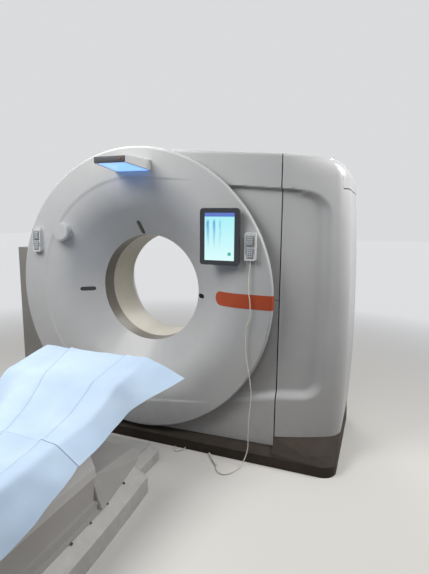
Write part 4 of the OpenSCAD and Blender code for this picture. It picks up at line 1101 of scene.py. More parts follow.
@dataclass
class Housing:
    """The big moulded covers beside and above the disc, as soft one-piece shells.

    Turns, slopes and leans are in degrees, and the corner's turn is a sine. Each of the fine
    rows is a range of heights and the closer step that its rows take. The reach and depth of the
    black strip of painted shade are multiples of the seam's gap.
    """

    paints: Paints
    recess: Recess = field(default_factory=Recess)
    axis_z: float = 0.974
    hole_r: float = 0.825
    panel_y: float = -0.204
    panel_turn: float = 2.3
    seam_x: float = 0.887
    cover_turn: float = 15.5
    bend_sweep: float = 11.5
    corner_plan_r: float = 0.116
    side_x: float = 1.262
    side_z: float = 0.640
    side_low_r: float = 8.878
    side_high_r: float = 12.65
    corner_r: float = 0.115
    corner_lean: float = 4.6
    corner_turn: float = 0.9973
    roof_touch: tuple[float, float] = (0.0634, 1.8377)
    roof_slope: float = 4.2
    cover_z: float = 0.098
    split_z: float = 0.971
    end_z: float = 0.1563
    lift_from_z: float = 1.55
    roof_joint_z: float = 1.600
    roof_y: float = -0.020
    rear_y: float = 0.6137
    gap: float = 0.004
    fine_gap: float = 0.0015
    seam_gap: float = 0.0075
    seam_turn_run: float = 0.15
    strip_reach: float = 1.5
    strip_depth: float = 1.1
    strip_inset: float = 0.004
    strip_wall: float = 0.002
    edge_r: float = 0.014
    wall: float = 0.004
    row_step: float = 0.022
    last_step: float = 0.004
    fine_rows: Sequence[Point] = ((0.30, 0.56, 0.008), (1.49, 1.64, 0.006))
    bow_columns: int = 34
    corner_columns: int = 22
    side_columns: int = 15
    middle_columns: int = 45
    corner_rows: int = 21
    roof_rows: int = 15
    edge_rows: int = 5

    def roof(self, x: np.ndarray) -> np.ndarray:
        """Gives the height of the roof at places across."""
        fall = math.tan(math.radians(self.roof_slope))
        return self.roof_touch[1] - (x - self.roof_touch[0]) * fall

    def corner_start(self) -> Point:
        """Finds where the upper right corner starts.

        Returns:
            Its height, its place across, and the side's lean there in radians.
        """
        lean = math.radians(self.corner_lean)
        z = self.side_z + self.side_high_r * math.sin(lean)
        return z, self.side_x - self.side_high_r * (1 - math.cos(lean)), lean

    def width(self, z: np.ndarray) -> np.ndarray:
        """Gives the place of the right side.

        Args:
            z: heights above the floor.

        Returns:
            The places across, with the upper corner.
        """
        start_z, start_x, lean = self.corner_start()
        off = z - self.side_z
        bow = np.where(off < 0, self.side_low_r, self.side_high_r)
        side = self.side_x - off**2 / (2 * bow)
        turn = np.clip((z - start_z) / self.corner_r + math.sin(lean), 0, self.corner_turn)
        corner = start_x - self.corner_r * (math.cos(lean) - np.sqrt(1 - turn**2))
        return np.where(z > start_z, corner, side)

    def corner_top(self) -> float:
        """Gives the height where the corner runs out into the roof."""
        start_z, _, lean = self.corner_start()
        return start_z + self.corner_r * (self.corner_turn - math.sin(lean))

    def plan(self) -> np.ndarray:
        """Draws the covers' plan from the seam round the corner to the rear.

        Returns:
            Rows of x, y, and the inward direction's x and y.
        """
        start_y = self.panel_y + self.seam_x * math.tan(math.radians(self.panel_turn))
        first, second = self.cover_turn, self.cover_turn + self.bend_sweep
        sine = [math.sin(math.radians(a)) for a in (first, second)]
        reach = self.side_x - self.corner_plan_r * (1 - sine[1]) - self.seam_x
        radius = reach / (sine[1] - sine[0])
        rows = []
        at = (self.seam_x, start_y)
        for bow, low, high, steps in (
            (radius, first, second, self.bow_columns),
            (self.corner_plan_r, second, 90.0, self.corner_columns),
        ):
            for turn in np.linspace(low, high, steps + 1)[(1 if rows else 0) :]:
                a, b = math.radians(low), math.radians(turn)
                x = at[0] + bow * (math.sin(b) - math.sin(a))
                y = at[1] + bow * (math.cos(a) - math.cos(b))
                rows.append((x, y, -math.sin(b), math.cos(b)))
            at = rows[-1][:2]
        for y in np.linspace(at[1], self.rear_y, self.side_columns + 1)[1:]:
            rows.append((self.side_x, y, -1.0, 0.0))
        return np.array(rows)

    @staticmethod
    def cut(plan: np.ndarray, y: float) -> np.ndarray:
        """Adds a row to a plan where it crosses a depth.

        Args:
            plan: the rows of the plan.
            y: the depth.

        Returns:
            The plan with one more row.
        """
        k = int(np.searchsorted(plan[:, 1], y))
        share = (y - plan[k - 1, 1]) / (plan[k, 1] - plan[k - 1, 1])
        row = plan[k - 1] + share * (plan[k] - plan[k - 1])
        return np.insert(plan, k, row, axis=0)

    def squeezed(self, x: np.ndarray, z: np.ndarray) -> np.ndarray:
        """Moves places across in where the side leans in.

        Args:
            x: places across on the plan.
            z: their heights above the floor.

        Returns:
            The places across at those heights.
        """
        share = (self.width(z) - self.seam_x) / (self.side_x - self.seam_x)
        return self.seam_x + (x - self.seam_x) * share

    def heights(self, low: float, high: float) -> np.ndarray:
        """Gives row heights that are closer where the field's edges run.

        Args:
            low: the first height.
            high: the last height.

        Returns:
            The heights, from low to high.
        """
        rows = [low]
        while rows[-1] < high - self.last_step:
            step = self.row_step
            for start, end, small in self.fine_rows:
                if start <= rows[-1] < end:
                    step = small
            rows.append(min(high, rows[-1] + step))
        return np.array(rows)

    def over_edge(
        self, start: Row, normal: Sequence[np.ndarray | float], back_y: float
    ) -> list[Row]:
        """Rolls a cover over its top edge and runs it back along the roof.

        Args:
            start: the places of the cover's top row, as x, y and z.
            normal: the inward direction's x and y, as numbers or arrays.
            back_y: the depth where it ends.

        Returns:
            The rows behind the first.
        """
        x, y, z = start
        rows = []
        for a in np.radians(np.linspace(0, 90, self.edge_rows + 1))[1:]:
            inward = self.edge_r * (1 - math.cos(a))
            deep = np.minimum(y + inward * normal[1], back_y)
            rows.append((x + inward * normal[0], deep, z + self.edge_r * math.sin(a)))
        x, y, z = rows[-1]
        for t in np.linspace(0, 1, self.edge_rows + 1)[1:]:
            rows.append((x, y + (back_y - y) * t, z))
        return rows

    def shell(self, name: str, rows: list[Row], kept: np.ndarray | None = None) -> Piece:
        """Makes a cover from its rows of places.

        Args:
            name: the piece's name.
            rows: the rows, from the lowest to the last.
            kept: which cells stay, or all of them.

        Returns:
            The finished cover.
        """
        points = np.stack([np.stack(row, -1) for row in rows], axis=1)
        cover = grid_piece(name, points, self.wall, kept)
        return self.paints.lay(cover, "cover_white")

    def middle(self, name: str, node: str, low: float, high: float | None) -> None:
        """Makes one of the two covers between the disc and the upright seam.

        Args:
            name: the piece's name.
            node: the CAD node that it stands for.
            low: the height of its lower edge.
            high: the height of its upper edge, or None where it rolls over the roof.
        """
        share = np.linspace(0, 1, self.middle_columns + 1)[:, None]
        end = high if high is not None else self.roof(np.array(self.seam_x)) - self.edge_r
        z = self.heights(low, float(end))[None, :]
        reach = np.maximum(self.hole_r**2 - (z - self.axis_z) ** 2, self.roof_touch[0] ** 2)
        left = np.sqrt(reach)
        x = left + (self.seam_x - self.seam_gap / 2 - left) * share
        level = np.broadcast_to(z, x.shape)
        if high is None:
            lift = smooth_rise(z, self.lift_from_z, float(end)) * np.ones_like(x)
            level = level + lift * (self.roof(x) - self.edge_r - end)
        y = self.panel_y + x * math.tan(math.radians(self.panel_turn))
        y = y + self.recess.push(x, level)
        rows = [(x[:, k], y[:, k], level[:, k]) for k in range(x.shape[1])]
        if high is None:
            turn = math.radians(self.panel_turn)
            normal = (-math.sin(turn), math.cos(turn))
            rows += self.over_edge(rows[-1], normal, self.roof_y - self.gap)
        cover = self.shell(name, rows)
        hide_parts(node)

    def right(self) -> None:
        """Makes the right cover: its pressed front, round corner and side."""
        edge_y = self.roof_y - self.gap
        plan = self.cut(self.plan(), edge_y)
        plan[0, 0] += self.seam_gap / 2
        split = int(np.argmin(np.abs(plan[:, 1] - edge_y)))
        low_end = self.roof_joint_z - self.gap
        z = self.heights(self.end_z, low_end)
        plan[:, 2] *= smooth_rise(plan[:, 0] - self.seam_x, 0.0, self.seam_turn_run)
        x = self.squeezed(plan[:, :1], z[None, :])
        level = np.broadcast_to(z[None, :], x.shape)
        push = self.recess.push(x, level)
        y = plan[:, 1:2] + push * plan[:, 3:4]
        x = x + push * plan[:, 2:3]
        rows = [(x[:, k], y[:, k], level[:, k]) for k in range(len(z))]
        corner_top = self.corner_top()
        narrow = self.squeezed(plan[:, 0], np.array(corner_top))
        top = self.roof(narrow) - self.edge_r
        lower_rows = len(rows)
        for t in np.linspace(0, 1, self.corner_rows + 1)[1:]:
            high = np.full(len(plan), low_end + (corner_top - self.edge_r - low_end) * t)
            across = self.squeezed(plan[:, 0], high)
            lift = low_end + (top - low_end) * t
            pressed = self.recess.push(across, lift)
            x = across + pressed * plan[:, 2]
            rows.append((x, plan[:, 1] + pressed * plan[:, 3], lift))
        rows += self.over_edge(rows[-1], (plan[:, 2], plan[:, 3]), edge_y)
        kept = np.ones((len(plan) - 1, len(rows) - 1), bool)
        kept[split:, lower_rows - 1 :] = False
        cover = self.shell("right_shell", rows, kept)
        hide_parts("right_cover")

    def top(self) -> None:
        """Makes the roof cover, which runs down round the upper right corner."""
        front = self.roof_y - self.gap + self.fine_gap
        plan = self.cut(self.plan(), front)
        plan = plan[int(np.argmin(np.abs(plan[:, 1] - front))) :]
        rows = []
        low = self.roof_joint_z - self.gap + self.fine_gap
        for z in np.linspace(low, self.corner_top(), self.corner_rows + 1):
            level = np.full(len(plan), z)
            rows.append((self.squeezed(plan[:, 0], level), plan[:, 1], level))
        start = rows[-1][0]
        for t in np.linspace(0, 1, self.roof_rows + 1)[1:]:
            x = start + (self.roof_touch[0] - start) * t
            rows.append((x, plan[:, 1], self.roof(x)))
        cover = self.shell("roof_shell", rows)
        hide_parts("roof_cover")

    def seam_shade_strip(self) -> None:
        """Sets a black strip behind the upright seam: painted shade that darkens the seam's gap.
        """
        lean = math.tan(math.radians(self.panel_turn))
        roof_z = float(self.roof(np.array(self.seam_x)))
        z = self.heights(self.cover_z + self.strip_inset, roof_z - self.strip_inset)
        reach = self.strip_reach * self.seam_gap
        x = np.array([self.seam_x - reach, self.seam_x + reach])
        level = np.broadcast_to(z[None, :], (2, len(z)))
        across = np.broadcast_to(x[:, None], level.shape)
        push = self.recess.push(np.full_like(level, self.seam_x), level)
        deep = self.panel_y + self.seam_x * lean + push + self.strip_depth * self.seam_gap
        # The black rubber strip stands for the shade in the gap: painted shade.
        strip = grid_piece("seam_shade_strip", np.stack([across, deep, level], -1), self.strip_wall)
        self.paints.lay(strip, "belt_rubber")

    def build(self) -> None:
        """Makes all four covers and the black strip of painted shade behind the seam."""
        split_low, split_high = self.split_z - self.gap / 2, self.split_z + self.gap / 2
        self.middle("middle_shell_upper", "mid_upper_cover", split_high, None)
        self.middle("middle_shell_lower", "mid_lower_cover", self.cover_z, split_low)
        self.right()
        self.top()
        self.seam_shade_strip()


@dataclass
class SeamScrews:
    """The dark screws in the seam above the skirt, and the filled corners of the core."""

    paints: Paints
    inward: float = 0.009
    upward: float = 0.0095
    skirt_z: float = 0.20
    corner_low: Point = (0.262, -1.073, 0.1315)
    corner_high: Point = (0.2862, -1.034, 0.250)
    corner_r: float = 0.004
    lean: float = 0.235

    def screws(self) -> None:
        """Moves the skirt's screws up into the seam."""
        screws = merged_copy("cover_screws", "seam_screws")
        for vertex in screws.data.vertices:
            if vertex.co.z < self.skirt_z:
                vertex.co.x -= math.copysign(self.inward, vertex.co.x)
                vertex.co.z += self.upward
        self.paints.lay(screws, "dark_screw")
        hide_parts("cover_screws")

    def corner(self, name: str, side: Side) -> None:
        """Fills the inside corner of the table's core cover.

        Args:
            name: the piece's name.
            side: the side of the table.
        """
        low, high = list(self.corner_low), list(self.corner_high)
        if side is Side.LEFT:
            low[0], high[0] = -high[0], -low[0]
        filler = rounded_box(name, low, high, self.corner_r)
        for vertex in filler.data.vertices:
            vertex.co.x += side.value * self.lean * (self.corner_high[2] - vertex.co.z)
        self.paints.lay(filler, "table_dark")

    def build(self) -> None:
        """Makes the screws and both fillers."""
        self.screws()
        self.corner("core_corner_right", Side.RIGHT)
        self.corner("core_corner_left", Side.LEFT)


@dataclass
class Handsets:
    """Trim and keys on the two handsets that hang in their holders on the ring."""

    paints: Paints
    places: Sequence[tuple[str, float]] = (("right", 0.745), ("left", -0.727))
    middle_z: float = 1.276
    front_y: float = -0.2745
    half_width: float = 0.020
    unit_deep: float = 0.008
    unit_high: float = 0.058
    unit_step: float = 0.034
    unit_edge_r: float = 0.003
    key_r: float = 0.0032
    key_deep: float = 0.003
    key_lift: float = 0.0005
    key_sides: int = 20
    key_rows: int = 4
    key_columns: int = 3
    key_step_x: float = 0.0105
    key_step_z: float = 0.0115

    def keys(self, name: str, x: float, z: float, y: float) -> Piece:
        """Makes one field of round keys as a single piece.

        Args:
            name: the piece's name.
            x: the place across of the field's middle.
            z: the height of the field's middle.
            y: the depth of the keys' middle.

        Returns:
            The finished piece.
        """
        parts = []
        for row in range(self.key_rows):
            for column in range(self.key_columns):
                place = (
                    x + (column - (self.key_columns - 1) / 2) * self.key_step_x,
                    y,
                    z + (row - (self.key_rows - 1) / 2) * self.key_step_z,
                )
                bpy.ops.mesh.primitive_cylinder_add(
                    vertices=self.key_sides,
                    radius=self.key_r,
                    depth=self.key_deep,
                    location=place,
                    rotation=(math.pi / 2, 0, 0),
                )
                parts.append(bpy.context.object)
        bpy.ops.object.select_all(action="DESELECT")
        for part in parts:
            part.select_set(True)
        bpy.ops.object.join()
        field_of_keys = bpy.context.object
        bpy.ops.object.transform_apply(location=True, rotation=True, scale=True)
        field_of_keys.name = field_of_keys.data.name = name
        return close_up(field_of_keys)

    def build(self) -> None:
        """Dresses both handsets."""
        for side, x in self.places:
            for part, sign in (("upper", 1), ("lower", -1)):
                z = self.middle_z + sign * self.unit_step
                back_y = self.front_y + self.unit_deep
                low = (x - self.half_width, self.front_y, z - self.unit_high / 2)
                high = (x + self.half_width, back_y, z + self.unit_high / 2)
                unit = rounded_box(f"{side}_unit_{part}", low, high, self.unit_edge_r)
                self.paints.lay(unit, "sheet_metal")
                keys = self.keys(f"{side}_keys_{part}", x, z, self.front_y - self.key_lift)
                self.paints.lay(keys, "fitting_grey")


@dataclass
class Hood:
    """The positioning light's hood: white arms, a dark front bar and a lit underside."""

    paints: Paints
    edge_r: float = 0.002
    edge_steps: int = 2
    bar: Point = (0.196, 0.010, 0.034)
    bar_edge_r: float = 0.003
    middle: Point = (0.006, -0.481, 1.740)
    dot_r: float = 0.006
    dot_x: float = 0.07
    dot_faces: tuple[int, int] = (24, 12)

    def build(self) -> None:
        """Softens the hood's edges and adds its front bar and its dot."""
        shell = merged_copy("light_hood", "hood_shell")
        apply_modifier(
            shell, "BEVEL", width=self.edge_r, segments=self.edge_steps, limit_method="ANGLE"
        )
        self.paints.lay(close_up(shell), "fitting_grey")
        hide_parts("light_hood")
        half = Vector(self.bar) / 2
        middle = Vector(self.middle)
        bar = rounded_box("hood_front_bar", middle - half, middle + half, self.bar_edge_r)
        self.paints.lay(bar, "hood_grey")
        bpy.ops.mesh.primitive_uv_sphere_add(
            segments=self.dot_faces[0],
            ring_count=self.dot_faces[1],
            radius=self.dot_r,
            location=middle + Vector((self.dot_x, -half.y, 0.0)),
        )
        dot = bpy.context.object
        dot.name = dot.data.name = "hood_light_dot"
        bpy.ops.object.transform_apply(location=True, rotation=True, scale=True)
        self.paints.lay(close_up(dot), "orange_paint")


@dataclass
class Tablet:
    """The tablet's black shell."""

    paints: Paints
    edge_r: float = 0.0025
    edge_steps: int = 3

    def build(self) -> None:
        """Gives the tablet round edges."""
        shell = merged_copy("tablet", "tablet_shell")
        apply_modifier(
            shell, "BEVEL", width=self.edge_r, segments=self.edge_steps, limit_method="ANGLE"
        )
        self.paints.lay(close_up(shell), "tablet_black")
        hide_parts("tablet")


# The table's soft parts


@dataclass
class Bedding:
    """The thin mattress and the head support."""

    paints: Paints
    mattress_voxel: float = 0.008
    mattress_fill: float = 0.85
    pillow_voxel: float = 0.012
    pillow_fill: float = 0.7
    smoothing: float = 0.5
    smooth_turns: int = 8
    smooth_angle: float = 80.0

    def softened(self, node: str, name: str, voxel: float, slot: str) -> None:
        """Turns a plain CAD pad into a soft one with rounded edges.

        Args:
            node: the CAD node.
            name: the new piece's name.
            voxel: the size of the cells that it is rebuilt from.
            slot: the record's material slot.
        """
        pad = merged_copy(node, name)
        apply_modifier(pad, "REMESH", mode="VOXEL", voxel_size=voxel)
        apply_modifier(pad, "SMOOTH", factor=self.smoothing, iterations=self.smooth_turns)
        close_up(pad, self.smooth_angle)
        self.paints.lay(pad, slot, Body.BED)
        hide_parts(node)

    def build(self) -> None:
        """Makes both pads."""
        voxels = (self.mattress_voxel, self.pillow_voxel)
        self.softened("mattress", "mattress_pad", voxels[0], "pad_vinyl")
        self.softened("head_pillow", "head_pad", voxels[1], "pillow_cloth")


@dataclass
class DrapeSheet:
    """The pale blue disposable sheet with the creases of its packing folds.

    Each station is a place along the table. The sheet has there the height of its top, the
    places of its folds, and its hems as distance from the middle and height above the floor.
    """

    paints: Paints
    stations: Sequence[float] = (
        -0.540, -0.862, -0.933, -1.060, -1.200, -1.304, -1.440, -1.600, -2.560
    )
    top: Sequence[float] = (0.664, 0.629, 0.589, 0.536, 0.5134, 0.502, 0.4915, 0.4915, 0.4915)
    folds: Sequence[float] = (0.264, 0.264, 0.264, 0.256, 0.234, 0.228, 0.226, 0.226, 0.226)
    right_fold_z: Sequence[float] = (
        0.676, 0.629, 0.589, 0.536, 0.5134, 0.502, 0.4915, 0.4915, 0.4915
    )
    right_hem: Sequence[tuple[float, float]] = (
        (0.475, 0.584),
        (0.338, 0.519),
        (0.340, 0.505),
        (0.340, 0.466),
        (0.340, 0.453),
        (0.340, 0.420),
        (0.340, 0.378),
        (0.340, 0.339),
        (0.336, 0.325),
    )
    left_hem: Sequence[tuple[float, float]] = (
        (-0.433, 0.662),
        (-0.425, 0.613),
        (-0.404, 0.560),
        (-0.378, 0.470),
        (-0.352, 0.365),
        (-0.345, 0.300),
        (-0.342, 0.250),
        (-0.340, 0.232),
        (-0.338, 0.232),
    )
    level_share: float = 0.55
    crease_high: float = 0.010
    crease_steep: float = 0.009
    crease_soft: float = 0.045
    wrinkle_high: float = 0.0026
    wrinkle_share: float = 0.4
    wrinkle_lift: float = 2.6
    # Each wave: its height, its turns across and along, and how a second wave bends it.
    waves: Sequence[tuple[float, ...]] = (
        (1.0, 31, 9, 1.7, 0, 6),
        (1.0, -17, 23, 1.3, 9, 2),
        (0.6, 53, -37, 2.1, 0, 11),
    )
    along_reach: int = 5
    round_columns: int = 7
    hang_from: float = 0.264
    hang_run: float = 0.06
    hang_out: float = 0.004
    flute_high: float = 0.0025
    flute_long: float = 0.23
    flute_bend: tuple[float, float] = (1.4, 5.0)
    front_wave: tuple[float, float, float] = (0.006, 14.0, 1.0)
    front_run: tuple[float, float] = (-0.70, -0.54)
    flat: tuple[float, float] = (0.92, 2.08)
    columns: int = 222
    rows: int = 200
    thick: float = 0.0006

    def along(self, values: Sequence[float], y: np.ndarray) -> np.ndarray:
        """Runs a value softly from station to station.

        Args:
            values: the value at each station.
            y: the places along the table.

        Returns:
            The value at each place.
        """
        places = np.array(self.stations)[::-1]
        raw = np.interp(y, places, np.array(values)[::-1])
        return run_softly(raw, self.along_reach, 0)

    def hem(self, points: Sequence[tuple[float, float]], y: np.ndarray) -> np.ndarray:
        """Runs a hem softly from station to station.

        Args:
            points: the hem's places across and up at each station.
            y: the places along the table.

        Returns:
            Its places across and up at each place along the table.
        """
        return np.stack([self.along([p[axis] for p in points], y) for axis in (0, 1)], -1)

    def section(self, y: np.ndarray) -> np.ndarray:
        """Gives each cross-section as points from the left hem to the right hem.

        Args:
            y: the places along the table.

        Returns:
            rows x columns x 2 places, across and up.
        """
        folds = self.along(self.folds, y)
        top = self.along(self.top, y)
        knots = np.stack(
            [
                self.hem(self.left_hem, y),
                np.stack([-folds, top], -1),
                np.stack([self.level_share * folds, top], -1),
                np.stack([folds, self.along(self.right_fold_z, y)], -1),
                self.hem(self.right_hem, y),
            ],
            axis=1,
        )
        reach = np.linalg.norm(np.diff(knots, axis=1), axis=2)
        run = np.concatenate([np.zeros((len(y), 1)), np.cumsum(reach, axis=1)], axis=1)
        share = np.linspace(0, 1, self.columns)
        lines = [
            np.stack([np.interp(share * run[k, -1], run[k], knots[k, :, a]) for a in (0, 1)], -1)
            for k in range(len(y))
        ]
        return run_softly(np.array(lines), self.round_columns, 1)

    def fold_line(self, off: np.ndarray) -> np.ndarray:
        """Gives the height of a packing crease: steep on one side and soft on the other.

        Args:
            off: the distances from the crease.

        Returns:
            The heights.
        """
        steep = np.exp(np.minimum(off, 0) / self.crease_steep)
        soft = np.exp(-np.maximum(off, 0) / self.crease_soft)
        return self.crease_high * steep * soft

    def relief(self, x: np.ndarray, y: np.ndarray) -> np.ndarray:
        """Adds up the packing creases and the soft wrinkles between them.

        Args:
            x: places across.
            y: places along the table.

        Returns:
            The heights above the plain sheet.
        """
        height = np.zeros_like(x)
        for place, lean in CREASES:
            height += self.fold_line(x - place - lean * (y - CREASE_Y))
        for place in CROSS_CREASES:
            height += self.fold_line(place - y)
        waves = np.zeros_like(x)
        for high, across, along, bend, bend_across, bend_along in self.waves:
            bent = bend * np.sin(bend_across * x + bend_along * y)
            waves += high * np.sin(across * x + along * y + bent)
        return height + self.wrinkle_high * self.wrinkle_share * (waves + self.wrinkle_lift)

    def build(self) -> Piece:
        """Makes the sheet and says how it lies.

        Returns:
            The sheet.
        """
        y = np.linspace(self.stations[0], self.stations[-1], self.rows)
        section = self.section(y)
        x, z = section[..., 0], section[..., 1]
        deep = np.broadcast_to(y[:, None], x.shape)
        z = z + self.relief(x, deep)
        hang = smooth_rise(np.abs(x), self.hang_from, self.hang_from + self.hang_run)
        bend = self.flute_bend[0] * np.sin(self.flute_bend[1] * deep)
        flute = self.flute_high * np.sin(2 * math.pi * deep / self.flute_long + bend)
        x = x + np.sign(x) * hang * (self.hang_out + flute)
        high, turns, start = self.front_wave
        edge = high * np.sin(turns * x + start) * smooth_rise(deep, *self.front_run)
        points = np.stack([x, deep + edge, z], axis=-1)
        sheet = grid_piece("creased_sheet", np.ascontiguousarray(points), self.thick)
        self.paints.lay(sheet, "sheet_cloth", Body.BED)
        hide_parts("drape_sheet")
        return sheet


# Curves and cords


def smooth_path(points: Sequence[Sequence[float]], steps: int) -> list[Vector]:
    """Runs a Catmull-Rom curve through points.

    Args:
        points: the points that it passes, in order.
        steps: how many pieces each stretch is cut into.

    Returns:
        The points along the curve, both ends included.
    """
    at = [Vector(p) for p in points]
    at = [2 * at[0] - at[1], *at, 2 * at[-1] - at[-2]]
    path = []
    for a, b, c, d in zip(at, at[1:], at[2:], at[3:]):
        for i in range(steps):
            t = i / steps
            path.append(
                0.5
                * (
                    2 * b
                    + (c - a) * t
                    + (2 * a - 5 * b + 4 * c - d) * t * t
                    + (3 * b - a - 3 * c + d) * t**3
                )
            )
    path.append(at[-2])
    return path


def round_curve(
    name: str, path: Sequence[Vector], radius: float, smoothness: int = 3
) -> Piece:
    """Makes a round cord along a path.

    Args:
        name: the piece's name.
        path: its centre line.
        radius: its radius.
        smoothness: how finely the round section is cut, by Blender's own count.

    Returns:
        A curve object of one open spline.
    """
    curve = bpy.data.curves.new(name, "CURVE")
    curve.dimensions = "3D"
    curve.bevel_depth = radius
    curve.bevel_resolution = smoothness
    curve.use_fill_caps = True
    spline = curve.splines.new("POLY")
    spline.points.add(len(path) - 1)
    for point, at in zip(spline.points, path):
        point.co = (*at, 1.0)
    piece = bpy.data.objects.new(name, curve)
    bpy.context.scene.collection.objects.link(piece)
    return piece


@dataclass
class Leads:
    """The handset's lead that hangs to the floor, and the short spare lead."""

    paints: Paints
    radius: float = 3.0 * MM
    sleeve_radius: float = 6.0 * MM
    steps: int = 6
    hanging: Sequence[Point] = (
        (0.745, -0.256, 1.2006),
        (0.742, -0.257, 1.160),
        (0.739, -0.258, 1.110),
        (0.738, -0.258, 1.035),
        (0.745, -0.257, 0.985),
        (0.749, -0.257, 0.949),
        (0.751, -0.257, 0.905),
        (0.744, -0.257, 0.865),
        (0.731, -0.257, 0.828),
        (0.727, -0.257, 0.750),
        (0.728, -0.257, 0.682),
        (0.739, -0.257, 0.610),
        (0.753, -0.257, 0.540),
        (0.763, -0.257, 0.470),
        (0.766, -0.257, 0.413),
        (0.761, -0.257, 0.340),
        (0.755, -0.257, 0.271),
        (0.753, -0.257, 0.190),
        (0.754, -0.258, 0.109),
        (0.748, -0.268, 0.064),
        (0.737, -0.292, 0.028),
        (0.725, -0.318, 0.008),
        (0.714, -0.346, 0.005),
        (0.696, -0.384, 0.005),
        (0.672, -0.410, 0.005),
        (0.647, -0.416, 0.005),
        (0.625, -0.405, 0.005),
        (0.604, -0.384, 0.005),
        (0.597, -0.362, 0.006),
        (0.594, -0.352, 0.006),
    )
    sleeve: Sequence[Point] = (
        (0.594, -0.352, 0.007),
        (0.566, -0.318, 0.007),
        (0.534, -0.280, 0.007),
        (0.506, -0.246, 0.007),
    )
    spare: Sequence[Point] = (
        (0.276, -0.2404, 0.004),
        (0.278, -0.264, 0.004),
        (0.287, -0.288, 0.004),
        (0.301, -0.293, 0.004),
        (0.315, -0.284, 0.004),
        (0.328, -0.272, 0.005),
        (0.339, -0.260, 0.008),
        (0.344, -0.251, 0.010),
        (0.344, -0.2405, 0.010),
    )

    def build(self) -> None:
        """Makes both leads and says what they are."""
        sleeve = round_curve(
            "lead_sleeve", smooth_path(self.sleeve, self.steps), self.sleeve_radius
        )
        self.paints.lay(sleeve, "lead_white")
        path = smooth_path((*self.hanging, *self.sleeve[1:]), self.steps)
        lead = round_curve("handset_lead", path, self.radius)
        self.paints.lay(lead, "lead_white")
        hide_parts("remote_lead")
        short = smooth_path(self.spare, self.steps)
        spare = round_curve("spare_lead_loop", short, self.radius)
        self.paints.lay(spare, "lead_white")
        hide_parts("spare_lead")


# Studio


@dataclass(frozen=True)
class Panel:
    """A soft round lamp: where it hangs, what it is aimed at, and how strong it is."""

    name: str
    at: Point
    aim: Point
    size: float
    watts: float


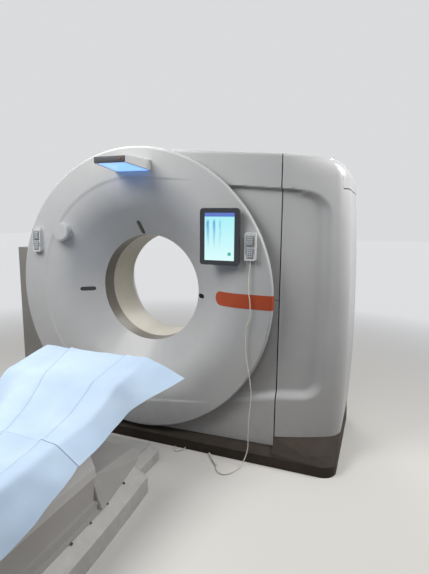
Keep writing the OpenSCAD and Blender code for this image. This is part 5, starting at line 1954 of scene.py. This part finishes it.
@dataclass
class Studio:
    """The floor, the lamps, the world and the camera of the photograph.

    Angles are in degrees. The floor shows one tone to the camera and lends a darker one to
    the object, and the backdrop's brightness is only for the camera.
    """

    camera_at: Point = (1.4089, -2.5218, 1.4242)
    yaw: float = 21.08
    pitch: float = 8.95
    roll: float = -0.5
    focal_share: float = 431 / 574
    sensor: float = 36.0
    clip: tuple[float, float] = (0.05, 100.0)
    floor_half: float = 30.0
    floor_seen: str = "#DAD9D6"
    floor_bounce: str = "#5A4A40"
    floor_far: str = "#000000"
    floor_fade: tuple[float, float] = (1.9, 4.8)
    floor_roughness: float = 0.8
    floor_gloss: float = 0.1
    backdrop: str = "#F1F2F4"
    backdrop_seen: float = 0.8
    world_strength: float = 0.24
    lamp_colour: str = "#FFFDFA"
    panels: Sequence[Panel] = (
        Panel("panel_front", (-0.85, -1.75, 2.75), (-0.5, -1.2, 0.6), 1.7, 56.0),
        Panel("panel_left", (-0.7, 0.1, 2.65), (-0.7, 0.0, 0.0), 1.2, 20.0),
        Panel("panel_right", (2.7, 0.15, 2.5), (1.3, 0.0, 1.1), 1.2, 44.0),
        Panel("panel_top", (1.5, -1.5, 2.9), (1.0, -0.2, 1.75), 1.0, 10.0),
        Panel("panel_back", (0.2, 2.6, 2.6), (0.2, 0.6, 0.9), 1.4, 20.0),
    )

    def build(self) -> None:
        """Makes the whole studio."""
        self.make_camera()
        self.make_floor()
        self.make_world()
        self.make_lamps()

    def make_camera(self) -> None:
        """Sets the camera where the photograph was taken."""
        yaw, pitch, roll = (math.radians(a) for a in (self.yaw, self.pitch, self.roll))
        ahead = Vector(
            (
                -math.sin(yaw) * math.cos(pitch),
                math.cos(yaw) * math.cos(pitch),
                -math.sin(pitch),
            )
        )
        right = Vector((math.cos(yaw), math.sin(yaw), 0))
        down = ahead.cross(right)
        level_right = right * math.cos(roll) + down * math.sin(roll)
        level_down = down * math.cos(roll) - right * math.sin(roll)
        camera = bpy.data.cameras.new("camera")
        camera.sensor_fit = "AUTO"
        camera.sensor_width = self.sensor
        camera.lens = self.sensor * self.focal_share
        camera.clip_start, camera.clip_end = self.clip
        stand = bpy.data.objects.new("camera", camera)
        bpy.context.scene.collection.objects.link(stand)
        turn = Matrix((level_right, -level_down, -ahead)).transposed()
        stand.matrix_world = Matrix.Translation(self.camera_at) @ turn.to_4x4()
        bpy.context.scene.camera = stand

    def make_floor(self) -> None:
        """Lays a plain pale floor that keeps the object's shadow.

        Far from the object, where the lamps don't reach, it shows the backdrop's tone to
        the camera and gives no light.
        """
        bpy.ops.mesh.primitive_plane_add(size=2 * self.floor_half)
        floor = bpy.context.object
        floor.name = "studio_floor"
        material = bpy.data.materials.new("studio_floor")
        material.use_nodes = True
        tree = material.node_tree
        tree.nodes.clear()
        seen = self.direct_ray(tree)
        tones = {"Factor": seen, MIX_FIRST: linear(self.floor_bounce)}
        tones[MIX_SECOND] = linear(self.floor_seen)
        near = add_node(tree, "Mix", tones, data_type="RGBA").outputs[MIXED]
        place = add_node(tree, "TexCoord").outputs["Object"]
        away = add_node(tree, "VectorMath", {0: place}, operation="LENGTH").outputs["Value"]
        fade = {"Value": away, "From Min": self.floor_fade[0], "From Max": self.floor_fade[1]}
        share = add_node(tree, "MapRange", fade).outputs["Result"]
        tones = {"Factor": share, MIX_FIRST: near, MIX_SECOND: linear(self.floor_far)}
        colour = add_node(tree, "Mix", tones, data_type="RGBA").outputs[MIXED]
        glow = share
        for part in (seen, self.backdrop_seen):
            glow = add_node(tree, "Math", {0: glow, 1: part}, operation="MULTIPLY").outputs[0]
        shader = add_node(
            tree,
            "BsdfPrincipled",
            {
                "Base Color": colour,
                "Roughness": self.floor_roughness,
                "Specular IOR Level": self.floor_gloss,
                "Emission Color": linear(self.backdrop),
                "Emission Strength": glow,
            },
        )
        add_node(tree, "OutputMaterial", {"Surface": shader.outputs[0]})
        floor.data.materials.append(material)

    @staticmethod
    def direct_ray(tree: Tree) -> Socket:
        """Tells where the camera sees a surface itself or in a clear reflection.

        Args:
            tree: the material's or the world's node tree.

        Returns:
            The socket that is 1 there and 0 elsewhere.
        """
        path = add_node(tree, "LightPath")
        seen = path.outputs["Is Camera Ray"]
        for name in ("Is Glossy Ray", "Is Transmission Ray"):
            either = {0: seen, 1: path.outputs[name]}
            seen = add_node(tree, "Math", either, operation="MAXIMUM").outputs[0]
        return seen

    def make_world(self) -> None:
        """Gives a plain light from all sides, and shows a pale backdrop."""
        world = bpy.data.worlds.new("studio_world")
        bpy.context.scene.world = world
        world.use_nodes = True
        tree = world.node_tree
        tree.nodes.clear()
        levels = {
            "Value": self.direct_ray(tree),
            "To Min": self.world_strength,
            "To Max": self.backdrop_seen,
        }
        strength = add_node(tree, "MapRange", levels).outputs["Result"]
        values = {"Color": linear(self.backdrop), "Strength": strength}
        light = add_node(tree, "Background", values)
        add_node(tree, "OutputWorld", {"Surface": light.outputs[0]})

    def make_lamps(self) -> None:
        """Hangs the soft round lamps and aims each of them."""
        for panel in self.panels:
            lamp = bpy.data.lights.new(panel.name, "AREA")
            lamp.shape = "DISK"
            lamp.size = panel.size
            lamp.energy = panel.watts
            lamp.color = linear(self.lamp_colour)[:3]
            stand = bpy.data.objects.new(panel.name, lamp)
            bpy.context.scene.collection.objects.link(stand)
            aim_line = Vector(panel.aim) - Vector(panel.at)
            stand.location = panel.at
            stand.rotation_euler = aim_line.to_track_quat("-Z", "Y").to_euler()


def main() -> None:
    """Builds the studio and dresses the scanner, part by part."""
    logging.basicConfig(level=logging.INFO, format="%(name)s: %(message)s")
    paints = Paints()
    Studio().build()
    paints.lay_on_frame()
    FrontDisc(paints).build()
    Housing(paints).build()
    SeamScrews(paints).build()
    Hood(paints).build()
    Tablet(paints).build()
    Handsets(paints).build()
    Bedding(paints).build()
    DrapeSheet(paints).build()
    Leads(paints).build()
    bpy.context.scene.view_settings.view_transform = "Standard"


if __name__ == "__main__":
    main()
